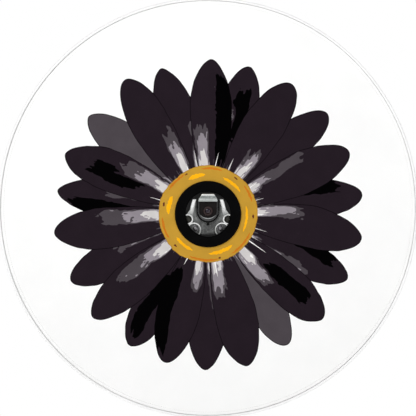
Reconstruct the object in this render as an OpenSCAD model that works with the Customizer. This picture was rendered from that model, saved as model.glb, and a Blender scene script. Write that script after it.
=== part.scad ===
// Spare tire cover for an outside-carried spare wheel, with a port in its
// face for a reversing camera, and the camera unit that sits in the port.
// Millimetres. The wheel's axle is the Y axis: -Y is the printed face, +Y is
// the vehicle, +Z is up. The origin is on the axle, on the plane where the
// tyre's outer sidewall rests on the lining.

/* [Cover] */
// Radius of the tyre space inside the side band
seat_r = 407; // [360:1:430]
// Depth of the tyre space, from the lining to the rear return
seat_depth = 260; // [200:1:300]
// Thickness of the vinyl panels
vinyl_t = 1; // [0.6:0.1:1.6]
// Thickness of the fleece lining behind the face
lining_t = 3; // [2:0.5:5]
// Radius of the piping round the face
piping_r = 2.6; // [2:0.1:3.5]
// Radius of the shoulder between the side band and the rear return
shoulder_r = 20; // [12:1:30]

/* [Rear hem] */
// Radius of the ring that the elastic cord lies on
elastic_ring_r = 301; // [270:1:330]
// Radius of the elastic cord
elastic_r = 3.2; // [2.5:0.1:4]

/* [Camera port] */
// How far the port's centre sits below the axle
port_drop = 12; // [0:1:20]
// Inner radius of the port ring
port_r = 44; // [42:0.5:48]
// Outer radius of the port ring
port_ring_r = 65; // [62:1:75]
// Radius of the hole cut in the vinyl
port_cut_r = 53.5; // [52.5:0.5:54.5]
// Radius of the circle that the port's screws lie on
port_screw_ring_r = 59; // [58:0.5:60]

/* [Camera] */
// Radius of the camera's rear plate
plate_r = 52; // [50:0.5:53]
// Height of the tilt axis above the port's centre
tilt_z = 6; // [4:0.5:8]
// Distance from the axle to each mounting bolt hole
bolt_x = 38.5; // [36:0.5:39]
// Radius of each mounting bolt hole
bolt_hole_r = 3.3; // [2.6:0.1:3.5]

/* [Drainage] */
// Angle of each drain eyelet from straight down
drain_angle = 10; // [6:1:20]
// Inner radius of a drain eyelet
drain_r = 5; // [3:0.5:6]

/* [Hidden] */
$fn = 96;
fine = 180;

port_z = -port_drop;
band_out = seat_r + vinyl_t;
face_y = -lining_t - vinyl_t;        // printed surface
piping_c = [seat_r + 1.5, face_y - 0.9];
rear_y = seat_depth + vinyl_t;       // outside of the rear return
shoulder_c = [band_out - shoulder_r, rear_y - shoulder_r];
casing_c = [elastic_ring_r, seat_depth + vinyl_t / 2];
tilt_y = 11.5;
plate_y = 10;                        // rear face of the camera's plate
window_r = 22.5;
white = [0.93, 0.93, 0.92];
black = [0.05, 0.05, 0.055];

// Points along an arc, for revolved profiles
function arc(c, r, a0, a1, n) =
  [for (i = [0:n]) c + r * [cos(a0 + (a1 - a0) * i / n), sin(a0 + (a1 - a0) * i / n)]];

// Revolves a profile of [radius, y] points about the axle
module turned(points) {
  rotate([-90, 0, 0]) rotate_extrude($fn = fine) polygon(points);
}
// The same about the port's own axis
module port_turned(points) {
  translate([0, 0, port_z]) rotate([-90, 0, 0]) rotate_extrude($fn = fine) polygon(points);
}
// Extrudes an outline drawn in X and Z from y0 to y1
module plate(y0, y1) {
  translate([0, y1, 0]) rotate([90, 0, 0]) linear_extrude(y1 - y0) children();
}
// A cylinder along Y from y0 to y1
module rod_y(r, y0, y1, x = 0, z = 0) {
  translate([x, y0, z]) rotate([-90, 0, 0]) cylinder(r = r, h = y1 - y0);
}
// A cylinder along X from x0 to x1
module rod_x(r, x0, x1, y = 0, z = 0) {
  translate([x0, y, z]) rotate([0, 90, 0]) cylinder(r = r, h = x1 - x0);
}
module at_port() { translate([0, 0, port_z]) children(); }
module ring_of(count, r, start = 0) {
  for (i = [0:count - 1]) rotate([0, start + i * 360 / count, 0]) translate([r, 0, 0]) children();
}

// ---------------------------------------------------------------- cover

module face_panel() color(white)
  difference() {
    rod_y(seat_r - 2, face_y, face_y + vinyl_t, $fn = fine);
    at_port() rod_y(port_cut_r, face_y - 1, face_y + vinyl_t + 1);
    at_port() ring_of(6, port_screw_ring_r, 30) rod_y(1.8, face_y - 1, face_y + vinyl_t + 1, $fn = 24);
  }

module face_lining() color([0.78, 0.78, 0.77])
  difference() {
    rod_y(seat_r - 2, -lining_t, 0, $fn = fine);
    at_port() rod_y(port_ring_r + 1, -lining_t - 1, 1);
  }

// Welt cover: a tube of vinyl round the cord, with its seam allowance inside
module piping_cover() color(white) {
  rotate([-90, 0, 0]) rotate_extrude($fn = fine) difference() {
    union() {
      translate(piping_c) circle(r = piping_r, $fn = 32);
      translate([seat_r - 1.6, face_y + 0.3]) square([1.3, 14]);
    }
    translate(piping_c) circle(r = piping_r - 0.8, $fn = 32);
  }
}

module piping_cord() color([0.85, 0.85, 0.85])
  rotate([-90, 0, 0]) rotate_extrude($fn = fine)
    translate(piping_c) circle(r = piping_r - 0.9, $fn = 32);

module drain_holes(r, r0, r1) {
  for (s = [-1, 1]) rotate([0, s * drain_angle, 0])
    translate([0, seat_depth / 2, -r1]) cylinder(r = r, h = r1 - r0);
}

module side_band() color(white)
  difference() {
    turned([
      [seat_r, face_y + 2.2], [band_out, face_y + 2.2],
      [band_out, rear_y - shoulder_r - 1], [seat_r, rear_y - shoulder_r - 1]
    ]);
    drain_holes(drain_r + 0.6, seat_r - 4, band_out + 4);
  }

// Overlap strip that covers the band's own joint, at the bottom
module side_seam_strip() color(white)
  intersection() {
    turned([
      [band_out + 0.05, face_y + 6], [band_out + 0.85, face_y + 6],
      [band_out + 0.85, rear_y - shoulder_r - 14], [band_out + 0.05, rear_y - shoulder_r - 14]
    ]);
    translate([-12, -20, -seat_r - 10]) cube([24, seat_depth + 40, 30]);
  }

// Rear panel: round shoulder and flat return towards the elastic hem
module rear_return() color(white)
  turned(concat(
    [[seat_r, rear_y - shoulder_r - 0.6], [band_out, rear_y - shoulder_r - 0.6]],
    arc(shoulder_c, shoulder_r, 0, 90, 12),
    [[elastic_ring_r + 14.2, rear_y], [elastic_ring_r + 14.2, rear_y - vinyl_t]],
    arc(shoulder_c, shoulder_r - vinyl_t, 90, 0, 12)
  ));

// Binding tape over the seam between the side band and the rear return
module rear_seam_tape() color(white)
  turned([
    [band_out + 0.05, rear_y - shoulder_r - 13], [band_out + 0.75, rear_y - shoulder_r - 13],
    [band_out + 0.75, rear_y - shoulder_r - 0.8], [band_out + 0.05, rear_y - shoulder_r - 0.8]
  ]);

// Turned hem that the elastic runs in
module hem_casing() color(white)
  rotate([-90, 0, 0]) rotate_extrude($fn = fine) difference() {
    union() {
      translate(casing_c) circle(r = elastic_r + 2.2, $fn = 32);
      translate([elastic_ring_r, casing_c[1] - 1.5]) square([14, 3]);
    }
    translate(casing_c) circle(r = elastic_r + 1.3, $fn = 32);
  }

module elastic_cord() color([0.12, 0.12, 0.13])
  rotate([-90, 0, 0]) rotate_extrude($fn = fine)
    translate(casing_c) circle(r = elastic_r, $fn = 32);

// Crimped sleeve that joins the two ends of the elastic, at the bottom
module elastic_ferrule() color([0.7, 0.7, 0.72])
  translate([0, casing_c[1], -elastic_ring_r - 0.04]) difference() {
    rod_x(elastic_r + 1.1, -7, 7);
    rod_x(elastic_r + 0.25, -8, 8);
  }

// Eyelet barrels with their outer flanges
module drain_eyelets() color([0.72, 0.72, 0.74])
  for (s = [-1, 1]) rotate([0, s * drain_angle, 0])
    translate([0, seat_depth / 2, 0]) difference() {
      union() {
        translate([0, 0, -band_out - 1.2]) cylinder(r = drain_r + 5, h = 1);
        translate([0, 0, -band_out - 1.2]) cylinder(r = drain_r + 0.5, h = 4);
      }
      translate([0, 0, -band_out - 2]) cylinder(r = drain_r, h = 6);
    }

// Toothed washers that the barrels are rolled over, inside
module drain_washers() color([0.72, 0.72, 0.74])
  for (s = [-1, 1]) rotate([0, s * drain_angle, 0])
    translate([0, seat_depth / 2, -seat_r + 0.3]) difference() {
      cylinder(r = drain_r + 4.5, h = 0.8);
      translate([0, 0, -1]) cylinder(r = drain_r + 0.55, h = 3);
    }

// Moulded ring round the port: flange in front, collar through the vinyl
module port_ring_front() color(black)
  difference() {
    port_turned([
      [port_r, face_y - 2.6], [port_r + 1.4, face_y - 4], [port_ring_r - 2.4, face_y - 4],
      [port_ring_r - 0.7, face_y - 3.3], [port_ring_r, face_y - 1.6], [port_ring_r, face_y - 0.05],
      [port_cut_r - 0.7, face_y - 0.05], [port_cut_r - 0.7, 3], [port_r, 3]
    ]);
    at_port() ring_of(6, port_screw_ring_r, 30) rod_y(1.5, face_y - 3, face_y + 1, $fn = 24);
  }

// Clamp ring behind the vinyl, inside the hole in the lining
module port_ring_rear() color(black)
  difference() {
    port_turned([
      [port_cut_r - 0.5, 0.05 - lining_t], [port_ring_r - 1, 0.05 - lining_t], [port_ring_r - 1, 0.2], [port_ring_r - 2, 1],
      [port_cut_r + 0.5, 1], [port_cut_r - 0.5, 0]
    ]);
    at_port() ring_of(6, port_screw_ring_r, 30) rod_y(1.7, -lining_t - 1, 2, $fn = 24);
  }

// Foam seal between the ring's collar and the camera's rear plate
module port_gasket() color([0.1, 0.1, 0.1])
  port_turned([[port_r + 0.8, 3.05], [port_cut_r - 1.5, 3.05], [port_cut_r - 1.5, 5.95], [port_r + 0.8, 5.95]]);

module port_screws() color([0.6, 0.6, 0.62])
  at_port() ring_of(6, port_screw_ring_r, 30) difference() {
    union() {
      rod_y(1.45, face_y - 2.8, 1.5, $fn = 24);
      rod_y(2.9, 1.05, 3, $fn = 24);
    }
    rod_y(1.3, 1.8, 4, $fn = 6);
  }

// ---------------------------------------------------------------- camera unit

module mirrored() { children(); mirror([1, 0, 0]) children(); }

// Rear plate, with the pod's window, the bolt holes and room for the pivots
module camera_backplate() color(black)
  at_port() difference() {
    rod_y(plate_r, 6, plate_y, $fn = fine);
    rod_y(window_r, 5, 12, 0, tilt_z);
    translate([-window_r, 5, tilt_z]) cube([2 * window_r, 7, 23]);
    translate([-33, 5, tilt_z - 7]) cube([66, 7, 14]);
    mirrored() {
      rod_y(bolt_hole_r, 5, 12, bolt_x, -10, $fn = 48);
      rod_y(1.7, 5, 12, 28, 25, $fn = 24);
      rod_y(3.1, plate_y - 2.4, 12, 28, 25, $fn = 32);
      rod_y(2.2, 5, 12, 24, -27.5, $fn = 24);
      rod_y(4.8, plate_y - 2.4, 12, 24, -27.5, $fn = 32);
    }
  }

module boss(x, z, r_in, r_out) {
  translate([x, z]) difference() { circle(r = r_out); circle(r = r_in); }
}

module cradle_outline() {
  intersection() {
    circle(r = port_r - 0.6, $fn = fine);
    difference() {
      union() {
        translate([0, tilt_z]) circle(r = 27);
        polygon([
          [-34, 1], [-31, -13], [-25, -17], [-18.5, -24], [-16.5, -35], [-12, -39.5],
          [12, -39.5], [16.5, -35], [18.5, -24], [25, -17], [31, -13], [34, 1]
        ]);
        mirrored() {
          polygon([[20, 30], [30, 29.5], [33, 20], [35.5, 9], [41, 0], [36, -6], [24, -4]]);
          translate([39.3, -10]) circle(r = 10.4);
          translate([27.5, -30.5]) circle(r = 14.3);
        }
      }
      translate([0, tilt_z]) circle(r = window_r);
      translate([-window_r, tilt_z]) square([2 * window_r, 40]);
      mirrored() translate([39.3, -10]) circle(r = 7.6);
    }
  }
}

// Cast cradle: plate, raised lower body, and the cheeks that carry the pivots
module camera_cradle() color([0.42, 0.43, 0.44])
  at_port() difference() {
    union() {
      plate(2, 5.95) cradle_outline();
      plate(-2, 2) difference() {
        polygon([
          [-27, -8], [-21, -17], [-13.8, -22], [-12, -34], [-9.6, -37],
          [9.6, -37], [12, -34], [13.8, -22], [21, -17], [27, -8], [20, -3], [-20, -3]
        ]);
        translate([0, tilt_z]) circle(r = window_r);
      }
      plate(-3, -2) difference() {
        polygon([[0, -13.2], [6, -19.6], [0, -26], [-6, -19.6]]);
        translate([0, tilt_z]) circle(r = window_r);
      }
      mirrored() translate([25, 2, tilt_z - 5.5]) cube([3.9, 14, 11]);
    }
    mirrored() {
      rod_x(2.1, 24, 32, tilt_y, tilt_z, $fn = 32);
      rod_y(1.5, 1, 7, 28, 25, $fn = 24);
      rod_y(2.1, 1, 7, 24, -27.5, $fn = 24);
    }
    rod_y(1.55, -4, 7, 0, -19.6, $fn = 24);
  }

// Bright shoulders either side of the pod, raised in two steps
module shoulder_trims() color([0.86, 0.87, 0.86])
  at_port() mirrored() difference() {
    intersection() {
      union() {
        plate(-5, 1.95) polygon([[23.2, 29], [29.6, 28.4], [32.4, 19], [34.6, 8.6], [41, 0.6], [36, -4], [30, -3], [28, 5], [27, 14], [24.6, 23]]);
        plate(-7, -5) polygon([[24.2, 27.6], [28.6, 27], [31.2, 18.4], [33.4, 8.4], [36.4, 2], [33, -0.6], [30.4, 2], [29, 14], [26.2, 23]]);
      }
      rod_y(port_r - 0.6, -8, 3, $fn = fine);
    }
    rod_y(10.6, -9, 3, 39.3, -10);
  }

// Bright rims round the four bosses
module boss_rims() color([0.86, 0.87, 0.86])
  at_port() intersection() {
    rod_y(port_r - 0.6, -6, 3, $fn = fine);
    mirrored() {
      plate(-3, 1.95) boss(39.3, -10, 7.6, 10.2);
      plate(-1, 1.95) boss(27.5, -30.5, 11.7, 14.2);
    }
  }

// Domed caps pushed into the two side bosses, over the mounting bolts
module boss_caps() color([0.13, 0.13, 0.11])
  at_port() intersection() {
    rod_y(port_r - 0.7, 0, 6, $fn = fine);
    mirrored() translate([39.3, 0, -10]) rotate([90, 0, 0]) rotate_extrude($fn = 64)
      polygon(concat([[0, -4.6], [7.5, -4.6]], arc([0, -13.1], 12.1, 51.7, 90, 8)));
  }

module cradle_screws() color([0.6, 0.6, 0.62])
  at_port() mirrored() difference() {
    union() {
      rod_y(1.45, 2.2, 8, 28, 25, $fn = 24);
      rod_y(2.8, plate_y - 2.35, plate_y - 0.4, 28, 25, $fn = 24);
    }
    rod_y(1.3, plate_y - 1.5, 12, 28, 25, $fn = 6);
  }

// Domed nuts on studs, one in each lower boss
module cap_nuts() color([0.4, 0.4, 0.43])
  at_port() mirrored() translate([24, 0, -27.5]) {
    rotate([90, 0, 0]) rotate_extrude($fn = 48)
      polygon(concat([[0, -1.9], [6, -1.9], [6, -0.4]], arc([0, -0.4], 5.2, 0, 90, 8)));
    rod_y(2, 1.8, 8, $fn = 24);
    rod_y(4.4, plate_y - 2.35, plate_y - 0.4, $fn = 6);
  }

// Screw that clamps the tilt, seen below the lens
module aim_clamp_screw() color([0.3, 0.3, 0.32])
  at_port() difference() {
    union() {
      rod_y(1.45, -3.5, 5.5, 0, -19.6, $fn = 24);
      rod_y(2.7, -5, -3.05, 0, -19.6, $fn = 32);
    }
    rod_y(1.4, -6, -4, 0, -19.6, $fn = 6);
  }

module pivot_screws() color([0.6, 0.6, 0.62])
  at_port() mirrored() union() {
    rod_x(2.05, 17.2, 29, tilt_y, tilt_z, $fn = 32);
    rod_x(4, 28.95, 31.4, tilt_y, tilt_z, $fn = 32);
  }

module friction_washers() color([0.9, 0.9, 0.86])
  at_port() mirrored() difference() {
    rod_x(4.8, 24.1, 24.95, tilt_y, tilt_z, $fn = 32);
    rod_x(2.15, 23, 26, tilt_y, tilt_z, $fn = 32);
  }

// ---------------------------------------------------------------- camera pod

// Front outline of the pod: round below the tilt axis, square above it
module pod_outline(r, top) {
  translate([0, tilt_z]) circle(r = r);
  translate([-r, tilt_z]) square([2 * r, top - tilt_z]);
}

// Outline of the window, flatter below than the pod
module window_outline(r, top) {
  translate([0, tilt_z]) scale([1, 0.85]) circle(r = r);
  translate([-r, tilt_z]) square([2 * r, top - tilt_z]);
}
pod_screws_at = [[15.4, 22.8], [11.2, -5.2]];

module pod_housing() color([0.14, 0.14, 0.15])
  at_port() difference() {
    union() {
      plate(-12, 26) pod_outline(19.5, 27);
      mirrored() rod_x(5, 19, 24, tilt_y, tilt_z, $fn = 32);
    }
    plate(-9, 27) difference() {
      pod_outline(17.1, 24.6);
      mirrored() {
        translate([16, tilt_z - 5]) square([4, 10]);
        for (p = pod_screws_at) translate(p) circle(r = 2.9, $fn = 32);
      }
    }
    rod_y(9, -13, 0, 0, tilt_z);
    mirrored() {
      rod_x(2.1, 17, 25, tilt_y, tilt_z, $fn = 32);
      for (p = pod_screws_at) rod_y(1.35, 16, 27, p[0], p[1], $fn = 24);
    }
  }

// Hood over the lens: two ridges with a groove between them
module pod_hood() color([0.78, 0.8, 0.79])
  at_port() difference() {
    union() {
      plate(-16, -6) polygon([[-19, 24.4], [-16.6, 32.6], [-11.8, 39.4], [11.8, 39.4], [16.6, 32.6], [19, 24.4]]);
      plate(-22, -16) polygon([[-19, 24.4], [-17.2, 30.6], [17.2, 30.6], [19, 24.4]]);
      plate(-21, -16) polygon([[-14.8, 35.2], [-11.8, 39.4], [11.8, 39.4], [14.8, 35.2]]);
    }
    translate([-30, -15.3, 20]) cube([60, 30, 7.05]);
  }

module lens_window() color([0.03, 0.03, 0.035])
  at_port() plate(-13.2, -12.02) difference() {
    window_outline(16.4, 24);
    translate([0, tilt_z]) circle(r = 9);
  }

module window_bezel() color([0.45, 0.46, 0.47])
  at_port() plate(-14.6, -12.02) difference() {
    window_outline(18.4, 24.35);
    window_outline(16.6, 30);
  }

module lens_barrel() color([0.06, 0.06, 0.065])
  at_port() translate([0, 0, tilt_z]) difference() {
    rod_y(8.9, -13.6, 7.97);
    rod_y(6.6, -14, 4);
    rod_y(4.5, 3, 7);
    rod_y(7.3, 6.2, 9);
  }

module lens_retainer() color([0.16, 0.13, 0.13])
  at_port() translate([0, 0, tilt_z]) rotate([90, 0, 0]) rotate_extrude($fn = 64)
    polygon([[5.2, 13.62], [8.9, 13.62], [8.9, 14.2], [8.2, 14.8], [6.4, 14.8], [5.2, 14]]);

// Front element, a shallow dome
module lens_glass() color([0.08, 0.08, 0.12, 0.6])
  at_port() translate([0, 0, tilt_z]) rotate([90, 0, 0]) rotate_extrude($fn = 64)
    polygon(concat([[0, 9], [6.5, 9], [6.5, 12.4], [5.1, 12.4]], [for (i = [1:8]) [5.1 * cos(90 * i / 8), 12.4 + 1.9 * sin(90 * i / 8)]]));

module sensor_board() color([0.1, 0.35, 0.2])
  at_port() plate(8, 9.6) translate([-10, tilt_z - 8]) square([20, 21]);

module image_sensor() color([0.2, 0.2, 0.22])
  at_port() plate(6.4, 7.98) translate([-5, tilt_z - 5]) square([10, 10]);

module pod_seal() color([0.08, 0.08, 0.08])
  at_port() plate(26.02, 26.9) difference() {
    pod_outline(19.2, 26.6);
    pod_outline(17.4, 24.9);
  }

// Rear cover, with a flange that shades the gap round the pod
module pod_rear_cover() color([0.14, 0.14, 0.15])
  at_port() difference() {
    plate(26.95, 30) pod_outline(24.5, 32);
    mirrored() for (p = pod_screws_at) rod_y(1.45, 26, 31, p[0], p[1], $fn = 24);
    rod_y(5.2, 26, 31, 0, tilt_z);
  }

module pod_cover_screws() color([0.6, 0.6, 0.62])
  at_port() mirrored() for (p = pod_screws_at) difference() {
    union() {
      rod_y(1.3, 17, 30.5, p[0], p[1], $fn = 24);
      rod_y(2.4, 30.05, 31.6, p[0], p[1], $fn = 24);
    }
    rod_y(1.1, 30.8, 33, p[0], p[1], $fn = 6);
  }

// Round socket for the camera's lead
module cable_socket() color([0.08, 0.08, 0.09])
  at_port() translate([0, 0, tilt_z]) difference() {
    union() { rod_y(5.1, 24, 31); rod_y(7, 30.05, 38); }
    rod_y(4, 29, 39);
  }

face_panel();
face_lining();
piping_cover();
piping_cord();
side_band();
side_seam_strip();
rear_return();
rear_seam_tape();
hem_casing();
elastic_cord();
elastic_ferrule();
drain_eyelets();
drain_washers();
port_ring_front();
port_ring_rear();
port_gasket();
port_screws();
camera_backplate();
camera_cradle();
shoulder_trims();
boss_rims();
boss_caps();
cradle_screws();
cap_nuts();
aim_clamp_screw();
pivot_screws();
friction_washers();
pod_housing();
pod_hood();
lens_window();
window_bezel();
lens_barrel();
lens_retainer();
lens_glass();
sensor_board();
image_sensor();
pod_seal();
pod_rear_cover();
pod_cover_screws();
cable_socket();
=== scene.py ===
import math

import bmesh
import bpy
import numpy as np
from mathutils import Matrix, Vector
from mathutils.geometry import delaunay_2d_cdt


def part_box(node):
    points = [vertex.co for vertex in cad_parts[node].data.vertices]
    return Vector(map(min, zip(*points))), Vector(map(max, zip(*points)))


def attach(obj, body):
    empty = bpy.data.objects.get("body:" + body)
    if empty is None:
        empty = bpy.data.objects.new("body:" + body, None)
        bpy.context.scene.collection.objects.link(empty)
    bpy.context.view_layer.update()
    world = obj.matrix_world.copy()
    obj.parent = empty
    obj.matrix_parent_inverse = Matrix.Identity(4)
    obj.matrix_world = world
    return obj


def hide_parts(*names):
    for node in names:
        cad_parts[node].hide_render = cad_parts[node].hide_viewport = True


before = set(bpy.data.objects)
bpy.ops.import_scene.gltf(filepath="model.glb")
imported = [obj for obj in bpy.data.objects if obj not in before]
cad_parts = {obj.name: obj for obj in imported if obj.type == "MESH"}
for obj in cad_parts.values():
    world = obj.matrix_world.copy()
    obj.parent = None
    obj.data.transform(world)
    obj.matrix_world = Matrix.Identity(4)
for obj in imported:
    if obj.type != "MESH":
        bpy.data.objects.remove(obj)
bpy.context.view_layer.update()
MM = 0.001
TAU = 2 * math.pi
WIDTH = 0.8138  # width of the view at the face
AMBIENT = 0.42


# ------------------------------------------------------------------ small tools
def lo(node):
    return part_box(node)[0]


def hi(node):
    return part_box(node)[1]


def hash01(n):
    n = np.asarray(n).astype(np.int64)
    x = (n * 374761393 + 668265263) & 0xFFFFFFFF
    x = ((x ^ (x >> 13)) * 1274126177) & 0xFFFFFFFF
    return ((x ^ (x >> 16)) & 0xFFFFFF) / float(0xFFFFFF)


def ring_noise(theta, cells, seed):
    """Smooth noise round a circle, from -1 to 1."""
    t = np.asarray(theta, float) / TAU * cells
    i = np.floor(t)
    f = t - i
    f = f * f * (3 - 2 * f)
    a = hash01((i % cells) + seed * 7919)
    b = hash01(((i + 1) % cells) + seed * 7919)
    return (a + (b - a) * f) * 2 - 1


def noise2(u, v, seed, wrap=None):
    """Smooth noise over a plane, from -1 to 1. wrap is how many cells u takes to repeat."""
    u, v = np.broadcast_arrays(np.asarray(u, float), np.asarray(v, float))
    i, j = np.floor(u), np.floor(v)
    f, g = u - i, v - j
    f, g = f * f * (3 - 2 * f), g * g * (3 - 2 * g)

    def h(a, b):
        if wrap:
            a = a % wrap
        return hash01(a.astype(np.int64) * 7321 + b.astype(np.int64) * 104729 + seed * 15485863)

    x = h(i, j) * (1 - f) + h(i + 1, j) * f
    y = h(i, j + 1) * (1 - f) + h(i + 1, j + 1) * f
    return (x * (1 - g) + y * g) * 2 - 1


def smooth(a, b, x):
    t = np.clip((np.asarray(x, float) - a) / (b - a), 0, 1)
    return t * t * (3 - 2 * t)


def link(name, mesh, mats):
    ob = bpy.data.objects.new(name, mesh)
    bpy.context.scene.collection.objects.link(ob)
    for m in mats:
        mesh.materials.append(m)
    return ob


def make(name, verts, faces, mats, ids=None, sharp=40):
    mesh = bpy.data.meshes.new(name)
    mesh.from_pydata([tuple(v) for v in verts], [], [tuple(int(i) for i in f) for f in faces])
    mesh.update()
    mesh.polygons.foreach_set("use_smooth", [True] * len(mesh.polygons))
    if sharp:
        mesh.set_sharp_from_angle(angle=math.radians(sharp))
    ob = link(name, mesh, mats)
    if ids is not None:
        mesh.polygons.foreach_set("material_index", np.asarray(ids, np.int32))
    return ob


def lathe(name, loops, n, mats, shape=None, cz=0.0, sharp=40, openings=()):
    """Turns closed profiles of (radius, y) in mm about the Y axis through z = cz.
    Each loop is (points, material index or list of them, inward). shape(theta, r, y) gives the moved r and y, and theta too
    if it changes. At each (i, j) of openings, a doubled profile is left open over 4 x 4 cells and gets a wall there."""
    verts, faces, ids = [], [], []
    th = np.arange(n) * TAU / n
    for points, mat_id, inward in loops:
        p = np.asarray(points, float)
        area = np.sum(p[:, 0] * np.roll(p[:, 1], -1) - np.roll(p[:, 0], -1) * p[:, 1])
        k = len(p)
        T = np.repeat(th[:, None], k, 1)
        R = np.repeat(p[None, :, 0], n, 0)
        Y = np.repeat(p[None, :, 1], n, 0)
        if shape:
            moved = shape(T, R, Y)
            R, Y = moved[:2]
            T = moved[2] if len(moved) == 3 else T
        base = len(verts)
        xyz = np.stack([R * np.cos(T), Y, R * np.sin(T) + cz], -1).reshape(-1, 3) * MM
        verts.extend(xyz)
        i = np.arange(n)[:, None]
        j = np.arange(k)[None, :]
        a = i * k + j
        b = i * k + (j + 1) % k
        c = ((i + 1) % n) * k + (j + 1) % k
        d = ((i + 1) % n) * k + j
        quad = np.stack([a, b, c, d], -1).reshape(-1, 4) + base
        m = np.tile(np.asarray(mat_id if np.ndim(mat_id) else [mat_id] * k), n)
        keep = np.ones((n, k), bool)
        walls = []
        for i0, j0 in openings:
            for di in range(-2, 2):
                for dj in range(-2, 2):
                    keep[(i0 + di) % n, j0 + dj] = False
                    keep[(i0 + di) % n, k - 2 - j0 - dj] = False
            loop = [(-2, q) for q in range(-2, 2)] + [(q, 2) for q in range(-2, 2)] + [(2, -q) for q in range(-2, 2)] + [(-q, -2) for q in range(-2, 2)]
            ring = [(((i0 + u) % n) * k + j0 + v + base, ((i0 + u) % n) * k + k - 1 - j0 - v + base) for u, v in loop]
            walls += [(e[0], f[0], f[1], e[1]) for e, f in zip(ring, ring[1:] + ring[:1])]
        quad, m = quad[keep.ravel()], m[keep.ravel()]
        if walls:
            quad, m = np.concatenate([quad, np.asarray(walls)]), np.concatenate([m, np.ones(len(walls), int)])
        if (area < 0) != bool(inward):
            quad = quad[:, ::-1]
        faces.extend(quad)
        ids.extend(m)
    if openings:
        used = np.unique(np.asarray(faces))
        new = np.zeros(len(verts), int)
        new[used] = np.arange(len(used))
        verts, faces = np.asarray(verts)[used], new[np.asarray(faces)]
    return make(name, verts, faces, mats, ids, sharp)


def strip_profile(points, thick, steps=1):
    """A closed profile: points on the outside, then the same moved inwards by thick along the normal."""
    p = np.asarray(points, float)
    t = np.gradient(p, axis=0)
    t /= np.linalg.norm(t, axis=1)[:, None]
    nrm = np.stack([-t[:, 1], t[:, 0]], -1)
    return np.concatenate([p, (p + nrm * thick)[::-1]])


# ------------------------------------------------------------------ materials
def srgb(r, g, b):
    def f(c):
        c /= 255
        return c / 12.92 if c <= 0.04045 else ((c + 0.055) / 1.055) ** 2.4

    return (f(r), f(g), f(b))


class Mat:
    """A material with a Principled shader and a few short ways to add nodes."""

    def __init__(self, name, rough=0.5, metal=0.0, spec=0.5, coat=0.0, sheen=0.0):
        self.m = bpy.data.materials.new(name)
        self.m.use_nodes = True
        self.t = self.m.node_tree
        self.p = next(n for n in self.t.nodes if n.type == "BSDF_PRINCIPLED")
        self.p.inputs["Roughness"].default_value = rough
        self.p.inputs["Metallic"].default_value = metal
        self.p.inputs["Specular IOR Level"].default_value = spec
        self.p.inputs["Coat Weight"].default_value = coat
        self.p.inputs["Sheen Weight"].default_value = sheen
        self.co = self.node("ShaderNodeTexCoord").outputs["Object"]
        self.height = None

    def node(self, kind, **sockets):
        n = self.t.nodes.new(kind)
        for k, v in sockets.items():
            n.inputs[k].default_value = v
        return n

    def wire(self, a, b):
        self.t.links.new(a, b)

    def scaled(self, sx, sy, sz):
        n = self.node("ShaderNodeMapping")
        n.inputs["Scale"].default_value = (sx, sy, sz)
        self.wire(self.co, n.inputs["Vector"])
        return n.outputs["Vector"]

    def noise(self, scale, detail=3.0, rough=0.55, distortion=0.0, vector=None):
        n = self.node("ShaderNodeTexNoise", Scale=scale, Detail=detail, Roughness=rough, Distortion=distortion)
        self.wire(vector or self.co, n.inputs["Vector"])
        return n.outputs["Fac"]

    def voronoi(self, scale, feature="F1", vector=None, smoothness=None):
        n = self.node("ShaderNodeTexVoronoi", Scale=scale)
        n.feature = feature
        if smoothness is not None:
            n.inputs["Smoothness"].default_value = smoothness
        self.wire(vector or self.co, n.inputs["Vector"])
        return n.outputs["Distance"]

    def wave(self, scale, direction="X", distortion=0.0, vector=None, profile="SIN"):
        n = self.node("ShaderNodeTexWave", Scale=scale, Distortion=distortion)
        n.bands_direction = direction
        n.wave_profile = profile
        self.wire(vector or self.co, n.inputs["Vector"])
        return n.outputs["Fac"]

    def math(self, op, a, b=None, clamp=False):
        n = self.node("ShaderNodeMath")
        n.operation = op
        n.use_clamp = clamp
        for i, v in enumerate((a, b)):
            if v is None:
                continue
            if isinstance(v, (int, float)):
                n.inputs[i].default_value = v
            else:
                self.wire(v, n.inputs[i])
        return n.outputs[0]

    def remap(self, x, a, b, c, d):
        n = self.node("ShaderNodeMapRange")
        for k, v in zip(("From Min", "From Max", "To Min", "To Max"), (a, b, c, d)):
            n.inputs[k].default_value = v
        self.wire(x, n.inputs["Value"])
        return n.outputs["Result"]

    def mix(self, fac, a, b, mode="MIX"):
        n = self.node("ShaderNodeMix")
        n.data_type = "RGBA"
        n.blend_type = mode
        self.wire(fac, n.inputs["Factor"]) if not isinstance(fac, (int, float)) else setattr(n.inputs["Factor"], "default_value", fac)
        for s, v in ((n.inputs[6], a), (n.inputs[7], b)):
            if isinstance(v, tuple):
                s.default_value = (*v, 1) if len(v) == 3 else v
            else:
                self.wire(v, s)
        return n.outputs[2]

    def colour(self, c):
        if isinstance(c, tuple):
            self.p.inputs["Base Color"].default_value = (*c, 1)
        else:
            self.wire(c, self.p.inputs["Base Color"])

    def roughness(self, x):
        self.wire(x, self.p.inputs["Roughness"])

    def bump(self, height, distance, strength=1.0):
        n = self.node("ShaderNodeBump", Strength=strength, Distance=distance)
        self.wire(height, n.inputs["Height"])
        if self.height is not None:
            self.wire(self.height, n.inputs["Normal"])
        self.height = n.outputs["Normal"]
        self.wire(self.height, self.p.inputs["Normal"])


def shade(c, k):
    return tuple(min(1.0, x * k) for x in c)


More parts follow.
